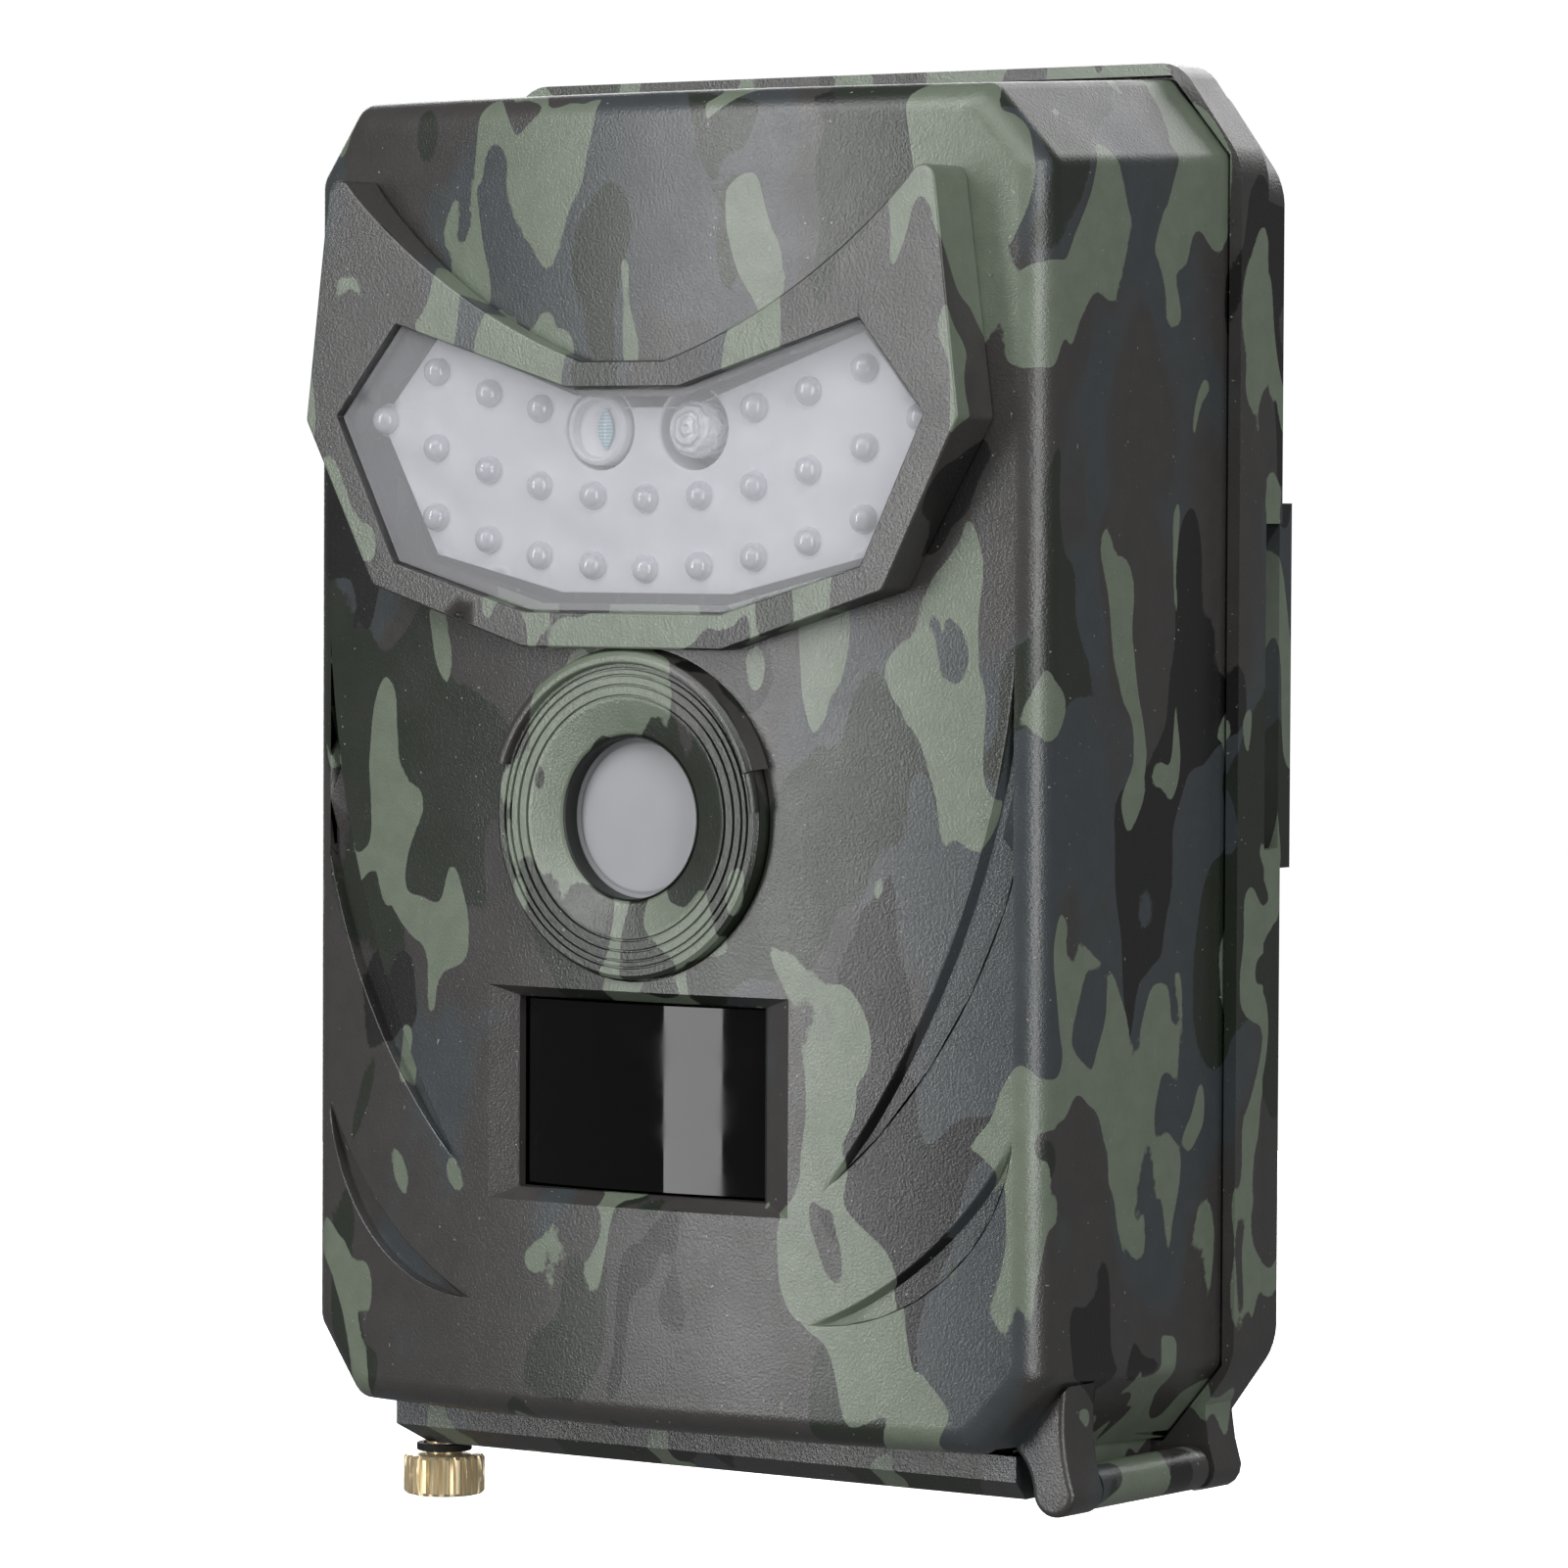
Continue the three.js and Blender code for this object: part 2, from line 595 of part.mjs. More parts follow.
// A flat cable from the back of the flash board down to the main board
function flashRibbon() {
  const from = LED_BOARD_Y + 1.2 + GAP;
  const to = MAIN_BOARD_Y - GAP;
  const outline = [
    [from, 16],
    [from + 0.5, 16],
    [from + 0.5, 9.5],
    [to - 1.0, 6.5],
    [to, 6.5],
    [to, 6.1],
    [to - 1.2, 6.1],
    [from, 9.2],
  ];
  const shape = new THREE.Shape(outline.map(([y, z]) => new THREE.Vector2(y, z)));
  const geometry = new THREE.ExtrudeGeometry(shape, { depth: 10, bevelEnabled: false });
  return solid(geometry.rotateY(Math.PI / 2).rotateX(Math.PI / 2).translate(-5, 0, 0));
}

// ---- Battery bay ----

function batteryBay() {
  const halfX = CELL.pitch / 2 + CELL.radius + 0.15;
  const halfY = CELL.radius + 0.3;
  const { x, y } = CELL;
  const outer = box(
    x - halfX - BAY_WALL,
    x + halfX + BAY_WALL,
    y - halfY - BAY_WALL,
    y + halfY + BAY_WALL,
    -75.9,
    BAY_TOP,
  );
  return cut(outer, box(x - halfX, x + halfX, y - halfY, y + halfY, -90, BAY_TOP - BAY_WALL));
}

// One cell, with its nub at the top in the left column and at the bottom in the right column
function cellBody(column, row) {
  const x = CELL.x + (column - 0.5) * CELL.pitch;
  const bottom = CELL.bottom + row * (CELL.length + CELL_ROW_GAP);
  const top = bottom + CELL.length;
  const nubUp = column === 0;
  const canBottom = nubUp ? bottom : bottom + CELL_NUB_HEIGHT;
  const canTop = nubUp ? top - CELL_NUB_HEIGHT : top;
  const nubBottom = nubUp ? top - 10 : bottom;
  const nubTop = nubUp ? top : bottom + 10;
  const can = rodZ(CELL.radius, canBottom, canTop, x, CELL.y, 24);
  return joined(can, rodZ(CELL_NUB_RADIUS, nubBottom, nubTop, x, CELL.y, 12));
}

// A plate with a tapered spring, under or over one column of cells
function contact(column, top) {
  const x = CELL.x + (column - 0.5) * CELL.pitch;
  const plateZ0 = top ? BAY_TOP - BAY_WALL - 0.8 : -75.4;
  const plate = box(x - 5, x + 5, CELL.y - 5, CELL.y + 5, plateZ0, plateZ0 + 0.5);
  const cone = new THREE.CylinderGeometry(top ? 3.4 : 2.4, top ? 2.4 : 3.4, 1.2, 16).rotateX(Math.PI / 2);
  return joined(plate, solid(cone.translate(x, CELL.y, top ? plateZ0 - 0.4 : plateZ0 + 0.9)));
}

function batteryCover() {
  const { x, y } = CELL;
  const plate = box(x - 14.4, x + 14.4, y - 7.4, y + 7.4, -76.6, -76.2);
  const grip = box(x - 5, x + 5, y - 1, y + 1, -77, -76.4);
  return joined(plate, grip);
}

// ---- Control panel ----

function controlPanel() {
  const { x0, x1, y0, y1, z0, z1 } = PANEL;
  return cut(
    box(x0, x1, y0, y1, z0, z1),
    box(-28.8, -8.2, -25.3, -14.5, z0 - 1, z1 + 1),
    box(-27.3, -18.7, -12.7, -9.0, z0 - 1, z1 + 1),
    box(SWITCH.x - 1.7, SWITCH.x + 5.6, -15.8, -13.4, z0 - 1, z1 + 1),
    box(CARD.x - 5.9, CARD.x + 5.9, CARD.y - 0.9, CARD.y + 0.9, z0 - 1, z1 + 1),
    ...Object.values(BUTTONS).map(([x, y]) => rodZ(BUTTON_RADIUS + GAP, z0 - 1, z1 + 1, x, y, 16)),
  );
}

function button([x, y]) {
  return joined(
    rodZ(BUTTON_RADIUS, -76.5, -73, x, y, 16),
    rodZ(2.6, -73.5, -72.7, x, y, 16),
    rodZ(1.2, -73, -71.2, x, y, 10),
  );
}

function modeSwitch() {
  const { x, y } = SWITCH;
  return joined(
    box(x - 1.3, x + 1.3, y - 0.9, y + 0.9, -76.3, -73),
    box(x - 2.2, x + 2.2, y - 1.5, y + 1.5, -73.5, -72.5),
  );
}

function usbPort() {
  const shell = box(-27, -19, -12.4, -9.3, -75, -66.5);
  const mouth = box(-26.5, -19.5, -11.9, -9.8, -80, -68);
  const tongue = box(-25.5, -20.5, -11.1, -10.6, -73, -67);
  return joined(cut(shell, mouth), tongue);
}

function cardSocket() {
  const { x, y, width } = CARD;
  const outer = box(x - width / 2 - 0.8, x + width / 2 + 0.8, y - 1.2, y + 1.2, -73.4, -59.4);
  return cut(outer, box(x - width / 2 - GAP, x + width / 2 + GAP, y - 0.75, y + 0.75, -80, -60.0));
}

function memoryCard() {
  const { x, y, width, thickness, z0, z1 } = CARD;
  return box(x - width / 2, x + width / 2, y - thickness / 2, y + thickness / 2, z0, z1);
}

// ---- Bottom door ----

function bottomDoor() {
  const { x0, x1, y0, y1, top, bottom } = DOOR;
  const profile = [
    [x0, top],
    [x1, top],
    [x1, bottom],
    [x0 + DOOR_SLOPE + 1, bottom],
    [x0, bottom + DOOR_SLOPE],
  ];
  const frontSlope = new THREE.Shape();
  frontSlope.moveTo(y0 - 1, bottom - 1);
  frontSlope.lineTo(y0 + DOOR_SLOPE, bottom - 1);
  frontSlope.lineTo(y0 + DOOR_SLOPE, bottom);
  frontSlope.lineTo(y0, bottom + DOOR_SLOPE);
  frontSlope.lineTo(y0 - 1, bottom + DOOR_SLOPE);
  const wedge = new THREE.ExtrudeGeometry(frontSlope, { depth: 120, bevelEnabled: false });
  wedge.rotateY(Math.PI / 2).rotateX(Math.PI / 2).translate(-60, 0, 0);
  const tray = box(-33.4, x1 - DOOR_LIP, y0 + DOOR_LIP, y1 - DOOR_LIP, DOOR_FLOOR_Z, 0);
  const knuckle = rodY(HINGE.barrel, KNUCKLE.y0, KNUCKLE.y1, HINGE.x, HINGE.z, 20);
  const web = box(x1 - 1, HINGE.x, KNUCKLE.y0, KNUCKLE.y1, bottom + 0.1, bottom + 2.4);
  return cut(
    joined(cut(plateY(profile, y0, y1), solid(wedge), tray), knuckle, web),
    rodY(HINGE.bore, -40, 0, HINGE.x, HINGE.z, 16),
    rodZ(SCREW.shank + 0.35, -90, -70, SCREW.x, SCREW.y, 20),
  );
}

function doorGasket() {
  const { x1, y0, y1 } = DOOR;
  const edge = DOOR_LIP + GAP;
  const outer = box(-33.1, x1 - edge, y0 + edge, y1 - edge, DOOR_FLOOR_Z + GAP, FLOOR_Z - 0.4);
  return cut(outer, box(-32.2, x1 - edge - 0.9, y0 + edge + 0.9, y1 - edge - 0.9, -90, 0));
}

function thumbScrew() {
  const { x, y, shank, knob, knobTop, knobBottom } = SCREW;
  const teeth = 24;
  const outline = Array.from({ length: teeth * 2 }, (_, i) => {
    const angle = (Math.PI * i) / teeth;
    const radius = i % 2 ? knob - 0.35 : knob;
    return [x + radius * Math.cos(angle), y + radius * Math.sin(angle)];
  });
  return joined(
    plateZ(outline, knobBottom + 0.4, knobTop),
    rodZ(knob - 0.5, knobBottom, knobTop - 1, x, y, 24),
    rodZ(shank, knobTop - 1, -72.2, x, y, 16),
  );
}

function ringZ(outer, inner, z0, z1, x, y) {
  return cut(rodZ(outer, z0, z1, x, y, 20), rodZ(inner, z0 - 1, z1 + 1, x, y, 20));
}

// ---- The assembly ----

const finish = (color, roughness, metalness = 0) => ({ color, roughness, metalness });
const camo = finish(0x4a5246, 0.6);
const blackPlastic = finish(0x1b1c1b, 0.5);
const greyPlastic = finish(0x55585a, 0.55);
const gloss = finish(0x0b0b0c, 0.12);
const clear = finish(0xc4c6ca, 0.25);
const rubber = finish(0x161616, 0.85);
const board = finish(0x1f5a35, 0.5);
const brass = finish(0xc9a867, 0.3, 1);
const steel = finish(0xa9abad, 0.35, 1);
const cellFinish = finish(0x2d3f4d, 0.35, 0.4);

const trailCamera = new THREE.Group();

function add(name, body, look) {
  const mesh = new THREE.Mesh(geometryOf(body), new THREE.MeshStandardMaterial(look));
  mesh.name = name;
  trailCamera.add(mesh);
}

add("front_shell", frontShell(), camo);
add("flash_mask", flashMask(), camo);
add("flash_window", plateY(windowOutline(GAP), MASK_Y + 0.7, MASK_Y + 1.8), clear);
add("flash_led_array", ledArray(), clear);
add("flash_board", ledBoard(), board);
add("light_sensor", flashRound(-1, 3.75, -40.3), blackPlastic);
add("status_light_guide", flashRound(1, 3.0, -40.9), clear);
add("flash_ribbon", flashRibbon(), greyPlastic);

add("lens_ring", lensRing(), camo);
add("lens_cover", rodY(9.5, -41.6, -40.4, 0, LENS_Z, 32), clear);
add("lens_seal", ringY(9.5, 7.6, -40.1, -39.0, 0, LENS_Z, 32), rubber);
add("lens_holder", lensHolder(), blackPlastic);
add("lens_barrel", lensBarrel(), blackPlastic);
add("lens_glass", lensGlass(), clear);
add("ir_cut_filter", irFilter(), greyPlastic);
add("image_sensor", box(-4.5, 4.5, -29.2, MAIN_BOARD_Y - GAP, LENS_Z - 4, LENS_Z + 4), blackPlastic);

add("pir_lens", pirLens(), gloss);
add("pir_sensor", rodY(4.1, -32.6, MAIN_BOARD_Y - GAP, 0, -42.5, 20), steel);

add("main_board", mainBoard(), board);
BOARD_SCREWS.forEach((place, i) => add(`board_screw_${i + 1}`, boardScrew(place), steel));

add("rear_shell", rearShell(), camo);
add("case_gasket", caseGasket(), rubber);
add("tripod_insert", tripodInsert(), brass);
CASE_SCREWS.forEach((place, i) => add(`case_screw_${i + 1}`, caseScrew(place), steel));

add("battery_bay", batteryBay(), blackPlastic);
add("battery_cover", batteryCover(), blackPlastic);
for (const column of [0, 1]) {
  const side = column ? "right" : "left";
  add(`battery_${side}_lower`, cellBody(column, 0), cellFinish);
  add(`battery_${side}_upper`, cellBody(column, 1), cellFinish);
  add(`contact_${side}_lower`, contact(column, false), steel);
  add(`contact_${side}_upper`, contact(column, true), steel);
}

add("control_panel", controlPanel(), blackPlastic);
add("control_board", box(-31, 5.6, -27.0, -13.1, -70.5, -69.3), board);
add("display", box(-30, -7.2, -26.4, -13.4, -73.5, -71.1), gloss);
Object.entries(BUTTONS).forEach(([name, place]) => add(name, button(place), greyPlastic));
add("mode_switch", modeSwitch(), greyPlastic);
add("usb_port", usbPort(), steel);
add("card_socket", cardSocket(), steel);
add("memory_card", memoryCard(), blackPlastic);

add("bottom_door", bottomDoor(), camo);
add("door_gasket", doorGasket(), rubber);
add("hinge_pin", rodY(HINGE.pin, -31.2, -1.2, HINGE.x, HINGE.z, 12), steel);
add("thumb_screw", thumbScrew(), brass);
add("screw_collar", ringZ(2.95, 2.25, SCREW.knobTop + GAP, DOOR.bottom - GAP, SCREW.x, SCREW.y), rubber);
add("screw_insert", ringZ(3.2, 2.3, -76.5, -70.2, SCREW.x, SCREW.y), brass);

export default trailCamera;
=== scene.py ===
"""The looks of a trail camera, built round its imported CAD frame.

Lengths are millimetres until a mesh is made.
"""

import json
import math

import bmesh
import bpy
import numpy as np
from mathutils import Matrix, Vector
from mathutils.geometry import delaunay_2d_cdt


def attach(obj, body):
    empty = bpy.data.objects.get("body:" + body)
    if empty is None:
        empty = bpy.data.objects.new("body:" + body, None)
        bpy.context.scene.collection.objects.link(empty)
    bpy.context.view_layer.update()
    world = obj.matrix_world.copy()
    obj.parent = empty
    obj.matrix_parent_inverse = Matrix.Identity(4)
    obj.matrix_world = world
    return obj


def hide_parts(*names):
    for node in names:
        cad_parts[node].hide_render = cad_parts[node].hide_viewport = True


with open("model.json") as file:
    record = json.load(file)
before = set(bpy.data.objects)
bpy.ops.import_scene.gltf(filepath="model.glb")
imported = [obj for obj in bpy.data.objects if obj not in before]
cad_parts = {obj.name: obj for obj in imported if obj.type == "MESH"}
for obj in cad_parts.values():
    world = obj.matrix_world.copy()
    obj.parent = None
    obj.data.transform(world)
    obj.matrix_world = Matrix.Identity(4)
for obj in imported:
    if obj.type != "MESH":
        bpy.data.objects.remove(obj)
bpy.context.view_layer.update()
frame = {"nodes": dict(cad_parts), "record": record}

MM = 0.001

# ---- Dimensions shared with the CAD part ----

FRONT_Y = -42.8
MASK_Y = -44.9
SHELL_END_Y = -3.9
CROWN_RADIUS = 190
FRONT_OUTLINE = (46.3, 60.6, -76.4, 6.6, 7.8)
SEAM_OUTLINE = (47.5, 62.4, -77.6, 6.9, 8.1)
EDGE_RADIUS = 3.0
WINDOW = [(7.1, 30.45), (29.2, 37.15), (37.0, 27.6), (29.45, 12.4), (12.4, 7.4)]
WINDOW_CENTRE = (0, 22)
LED_PITCH = 6.75
LED_ROW_BEND = 0.325
LED_ROWS = [(27.05, 2, 4), (19.1, 0, 5), (11.9, 0, 4)]
LED_RADIUS = 1.5
LED_BOARD_Y = -35.5
DOME_TIP_Y = -42.0
FLASH_SIDE = (5.9, 26.2)
FLASH_ROUNDS_BACK_Y = -35.8
LENS_Z = -13.5
RING_RADIUS = 16.5
RING_FRONT_Y = -44.0
LENS_OPENING = 8.5
PIR_MOUTH = (19, -31.3, -53.5)
PIR_INNER = (15.6, -32.4, -52.1)
PIR_FLOOR_Y = -40.8
HINGE = (44.6, -80.3)
HINGE_BARREL = 2.3
SCREW = (-36.5, -26.5)
KNOB = (4.35, -83.0, -87.4)
SHANK_TOP = -72.2
CLAWS = [
    ((22.9, -50.8), (37.8, -22.8), (41.6, -24.0), (43.7, 13.2)),
    ((21.5, -64.2), (35.3, -55.4), (38.6, -56.4), (43.4, -44.4)),
]

# ---- Camera ----

AZIMUTH, PITCH, ROLL = math.radians(36.15), math.radians(2.09), math.radians(0.24)
TARGET = Vector((0, -40.3, -10.1)) * MM
DISTANCE = 759.8 * MM
LENS_MM, SENSOR_MM, SHIFT_X = 170.38, 36, 0.0878


def make_camera():
    level = math.cos(PITCH)
    back = Vector((math.sin(AZIMUTH) * level, -math.cos(AZIMUTH) * level, math.sin(PITCH)))
    right = Vector((math.cos(AZIMUTH), math.sin(AZIMUTH), 0))
    up = back.cross(right)
    tilted_right = right * math.cos(ROLL) + up * math.sin(ROLL)
    tilted_up = up * math.cos(ROLL) - right * math.sin(ROLL)
    data = bpy.data.cameras.new("camera")
    data.sensor_width = SENSOR_MM
    data.lens = LENS_MM
    data.shift_x = SHIFT_X
    data.clip_start, data.clip_end = 0.01, 20
    camera = bpy.data.objects.new("camera", data)
    bpy.context.scene.collection.objects.link(camera)
    camera.matrix_world = Matrix.Translation(TARGET + back * DISTANCE) @ Matrix(
        (
            (tilted_right.x, tilted_up.x, back.x, 0),
            (tilted_right.y, tilted_up.y, back.y, 0),
            (tilted_right.z, tilted_up.z, back.z, 0),
            (0, 0, 0, 1),
        )
    )
    bpy.context.scene.camera = camera


make_camera()

# ---- Materials ----


class Nodes:
    """A short way to write one material's node tree."""

    def __init__(self, name):
        self.material = bpy.data.materials.new(name)
        self.material.use_nodes = True
        self.tree = self.material.node_tree
        self.shader = self.tree.nodes["Principled BSDF"]
        self.output = self.tree.nodes["Material Output"]
        self.place = self.new("ShaderNodeTexCoord").outputs["Object"]

    def new(self, kind, **settings):
        node = self.tree.nodes.new(kind)
        for key, value in settings.items():
            setattr(node, key, value)
        return node

    def put(self, socket, value):
        if isinstance(value, bpy.types.NodeSocket):
            self.tree.links.new(value, socket)
        else:
            socket.default_value = value

    def maths(self, operation, a, b=0.0):
        node = self.new("ShaderNodeMath", operation=operation)
        self.put(node.inputs[0], a)
        self.put(node.inputs[1], b)
        return node.outputs[0]

    def vector(self, operation, a, b):
        node = self.new("ShaderNodeVectorMath", operation=operation)
        self.put(node.inputs[0], a)
        self.put(node.inputs[1], b)
        return node.outputs[0]

    def noise(self, scale, detail=2.0, rough=0.5, distortion=0.0, place=None, seed=0.0, colour=False):
        """Noise whose scale is in features per metre. The seed moves it to another part of the field."""
        node = self.new("ShaderNodeTexNoise")
        elsewhere = (seed, seed * 0.7, seed * 1.3)
        self.put(node.inputs["Vector"], self.vector("ADD", place or self.place, elsewhere))
        self.put(node.inputs["Scale"], scale)
        self.put(node.inputs["Detail"], detail)
        self.put(node.inputs["Roughness"], rough)
        self.put(node.inputs["Distortion"], distortion)
        return node.outputs["Color" if colour else "Fac"]

    def between(self, value, low, high, to_low=0.0, to_high=1.0):
        node = self.new("ShaderNodeMapRange", interpolation_type="SMOOTHSTEP")
        for key, number in (("From Min", low), ("From Max", high), ("To Min", to_low), ("To Max", to_high)):
            self.put(node.inputs[key], number)
        self.put(node.inputs["Value"], value)
        return node.outputs["Result"]

    def mix(self, share, a, b):
        node = self.new("ShaderNodeMix", data_type="RGBA")
        self.put(node.inputs["Factor"], share)
        self.put(node.inputs["A"], a)
        self.put(node.inputs["B"], b)
        return node.outputs["Result"]

    def bump(self, height, distance_mm, strength=1.0):
        node = self.new("ShaderNodeBump")
        self.put(node.inputs["Height"], height)
        self.put(node.inputs["Distance"], distance_mm * MM)
        self.put(node.inputs["Strength"], strength)
        self.put(self.shader.inputs["Normal"], node.outputs["Normal"])

    def set(self, **values):
        for key, value in values.items():
            self.put(self.shader.inputs[key.replace("_", " ")], value)
        return self.material


def rgb(red, green, blue):
    """A linear colour from 8-bit sRGB numbers."""
    linear = [c / 255 / 12.92 if c <= 10 else ((c / 255 + 0.055) / 1.055) ** 2.4 for c in (red, green, blue)]
    return (*linear, 1.0)


SAGE = rgb(116, 127, 111)
OLIVE = rgb(37, 44, 34)
SLATE = rgb(63, 69, 72)
TAUPE = rgb(64, 62, 61)
SOOT = rgb(21, 22, 21)


def camo_material():
    """A printed film: soft low tones, dark blots and pale patches, with a fine grain and tiny specks."""
    n = Nodes("camo_film")
    stretched = n.vector("MULTIPLY", n.place, (1.0, 1.0, 0.5))
    drift = n.noise(110, 1.0, 0.5, place=stretched, seed=3.1, colour=True)
    drift = n.vector("MULTIPLY", n.vector("SUBTRACT", drift, (0.5, 0.5, 0.5)), (0.016, 0.016, 0.016))
    warped = n.vector("ADD", stretched, drift)
    ragged = n.maths("MULTIPLY", n.maths("SUBTRACT", n.noise(1500, 1.0, seed=0.4), 0.5), 0.012)

    def patch(scale, seed, level, soft=0.006, distortion=0.3):
        field = n.maths("ADD", n.noise(scale, 0.6, 0.45, distortion, warped, seed), ragged)
        return n.between(field, level, level + soft)

    colour = n.mix(patch(38, 1.7, 0.50, 0.05), TAUPE, SLATE)
    colour = n.mix(patch(46, 5.9, 0.56), colour, OLIVE)
    colour = n.mix(patch(62, 8.3, 0.63), colour, SOOT)
    colour = n.mix(patch(88, 2.6, 0.578, distortion=0.6), colour, SAGE)
    mottle = n.between(n.noise(420, 3.0, 0.6, seed=6.0), 0.3, 0.7, 0.94, 1.06)
    uneven = n.vector("SCALE", colour, (0, 0, 0))
    n.put(uneven.node.inputs["Scale"], mottle)
    speck = n.between(n.noise(2600, 0.0, seed=1.0), 0.845, 0.87)
    colour = n.mix(n.maths("MULTIPLY", speck, 0.7), uneven, rgb(168, 170, 168))
    grain = n.noise(3600, 2.0, 0.6)
    rough = n.between(n.noise(160, 3.0, seed=9.0), 0.2, 0.8, 0.30, 0.37)
    n.bump(grain, 0.05, 0.9)
    return n.set(Base_Color=colour, Roughness=rough, Specular_IOR_Level=0.95)


UNEVENNESS = 0.08


def plain_material(name, colour, roughness, grain_mm=0.02, grain_scale=2500, **more):
    """Moulded or machined stock: a little uneven in colour and gloss, with a fine grain."""
    n = Nodes(name)
    mottle = n.noise(260, 3.0, 0.6, seed=4.0)
    darker = tuple(c * (1 - UNEVENNESS) for c in colour[:3]) + (1.0,)
    lighter = tuple(min(1, c * (1 + UNEVENNESS)) for c in colour[:3]) + (1.0,)
    n.bump(n.noise(grain_scale, 2.0), grain_mm, 0.5)
    return n.set(
        Base_Color=n.mix(n.between(mottle, 0.3, 0.7), darker, lighter),
        Roughness=n.between(n.noise(180, 3.0, seed=7.0), 0.2, 0.8, roughness - 0.04, roughness + 0.04),
        **more,
    )


def frosted_material(name="frosted_window", through=0.79, tone=224):
    """A pale frosted window: a scattering skin that lets part of what is behind it through."""
    n = Nodes(name)
    n.bump(n.noise(900, 1.0), 0.01, 0.3)
    cloud = n.between(n.noise(90, 2.0), 0.3, 0.7)
    body = n.mix(cloud, rgb(tone, tone + 1, tone + 5), rgb(tone + 7, tone + 8, tone + 12))
    n.set(Base_Color=body, Roughness=n.between(n.noise(140), 0.3, 0.7, 0.20, 0.26))
    clear = n.new("ShaderNodeBsdfTransparent")
    clear.inputs["Color"].default_value = (0.98, 0.98, 0.99, 1)
    both = n.new("ShaderNodeMixShader")
    both.inputs["Fac"].default_value = through
    n.tree.links.new(n.shader.outputs[0], both.inputs[1])
    n.tree.links.new(clear.outputs[0], both.inputs[2])
    n.tree.links.new(both.outputs[0], n.output.inputs["Surface"])
    return n.material


def board_material():
    """Green laminate with faint tracks."""
    n = Nodes("circuit_board")
    cells = n.new("ShaderNodeTexBrick", offset=0.37)
    n.put(cells.inputs["Vector"], n.place)
    for key, value in (("Scale", 170.0), ("Mortar Size", 0.06), ("Brick Width", 0.9), ("Row Height", 0.22)):
        n.put(cells.inputs[key], value)
    lines = n.mix(cells.outputs["Fac"], rgb(24, 74, 44), rgb(38, 98, 60))
    n.bump(cells.outputs["Fac"], 0.03, 0.5)
    return n.set(Base_Color=lines, Roughness=n.between(n.noise(300), 0.3, 0.7, 0.32, 0.44))


def label_material():
    """A shrink sleeve with a plain band round one end."""
    n = Nodes("cell_wrap")
    split = n.new("ShaderNodeSeparateXYZ")
    n.put(split.inputs[0], n.place)
    band = n.between(n.maths("FRACT", n.maths("MULTIPLY", split.outputs["Z"], 19.7)), 0.78, 0.79)
    n.bump(n.noise(900), 0.02, 0.4)
    sleeve = n.mix(band, rgb(44, 62, 78), rgb(176, 132, 62))
    return n.set(Base_Color=sleeve, Roughness=n.between(n.noise(200), 0.3, 0.7, 0.22, 0.3))


def metal_material(name, colour, roughness, streak, metallic=1.0):
    """Turned or drawn metal: fine marks along one direction."""
    n = Nodes(name)
    marks = n.noise(1200, 2.0, place=n.vector("MULTIPLY", n.place, streak))
    n.bump(marks, 0.012, 0.5)
    tone = n.mix(n.between(marks, 0.3, 0.7), tuple(c * 0.85 for c in colour[:3]) + (1.0,), colour)
    worn = n.between(marks, 0.2, 0.8, roughness - 0.06, roughness + 0.08)
    return n.set(Base_Color=tone, Metallic=metallic, Roughness=worn)


def epoxy_material():
    """Pale moulded epoxy."""
    n = Nodes("led_epoxy")
    n.bump(n.noise(500, 1.0), 0.01, 0.3)
    tone = n.mix(n.between(n.noise(150), 0.3, 0.7), rgb(226, 227, 231), rgb(236, 237, 240))
    return n.set(Base_Color=tone, Roughness=n.between(n.noise(150), 0.3, 0.7, 0.34, 0.42))


def guide_material():
    """Clear moulded plastic with swirls that catch the light."""
    n = Nodes("light_guide")
    rings = n.new("ShaderNodeTexWave", wave_type="RINGS", rings_direction="Y")
    offset = n.vector("SUBTRACT", n.place, (FLASH_SIDE[0] * MM, 0, FLASH_SIDE[1] * MM))
    n.put(rings.inputs["Vector"], offset)
    for key, value in (("Scale", 340.0), ("Distortion", 5.0), ("Detail", 2.0), ("Detail Scale", 2.0)):
        n.put(rings.inputs[key], value)
    n.bump(rings.outputs["Fac"], 0.28, 1.0)
    tone = n.mix(rings.outputs["Fac"], rgb(232, 234, 238), rgb(255, 255, 255))
    return n.set(Base_Color=tone, Roughness=n.between(n.noise(400), 0.3, 0.7, 0.04, 0.1), Coat_Weight=1.0)


def cell_look():
    """The light sensor's pale blue cell, finely ruled."""
    n = Nodes("sensor_cell")
    lines = n.new("ShaderNodeTexWave", bands_direction="Z")
    n.put(lines.inputs["Vector"], n.place)
    n.put(lines.inputs["Scale"], 900.0)
    n.bump(lines.outputs["Fac"], 0.03, 0.5)
    tone = n.mix(lines.outputs["Fac"], rgb(150, 190, 200), rgb(206, 232, 236))
    return n.set(Base_Color=tone, Roughness=0.12)


def dome_look():
    """Clear epoxy over a pale cup: a little darker than the holder, and glossy."""
    n = Nodes("led_dome")
    n.bump(n.noise(500, 1.0), 0.005, 0.3)
    tone = n.mix(n.between(n.noise(150), 0.3, 0.7), rgb(204, 206, 211), rgb(214, 216, 221))
    n.set(Roughness=n.between(n.noise(150), 0.3, 0.7, 0.10, 0.14), Coat_Weight=1.0, Coat_Roughness=0.12)
    return n.set(Base_Color=tone, Specular_IOR_Level=1.0)


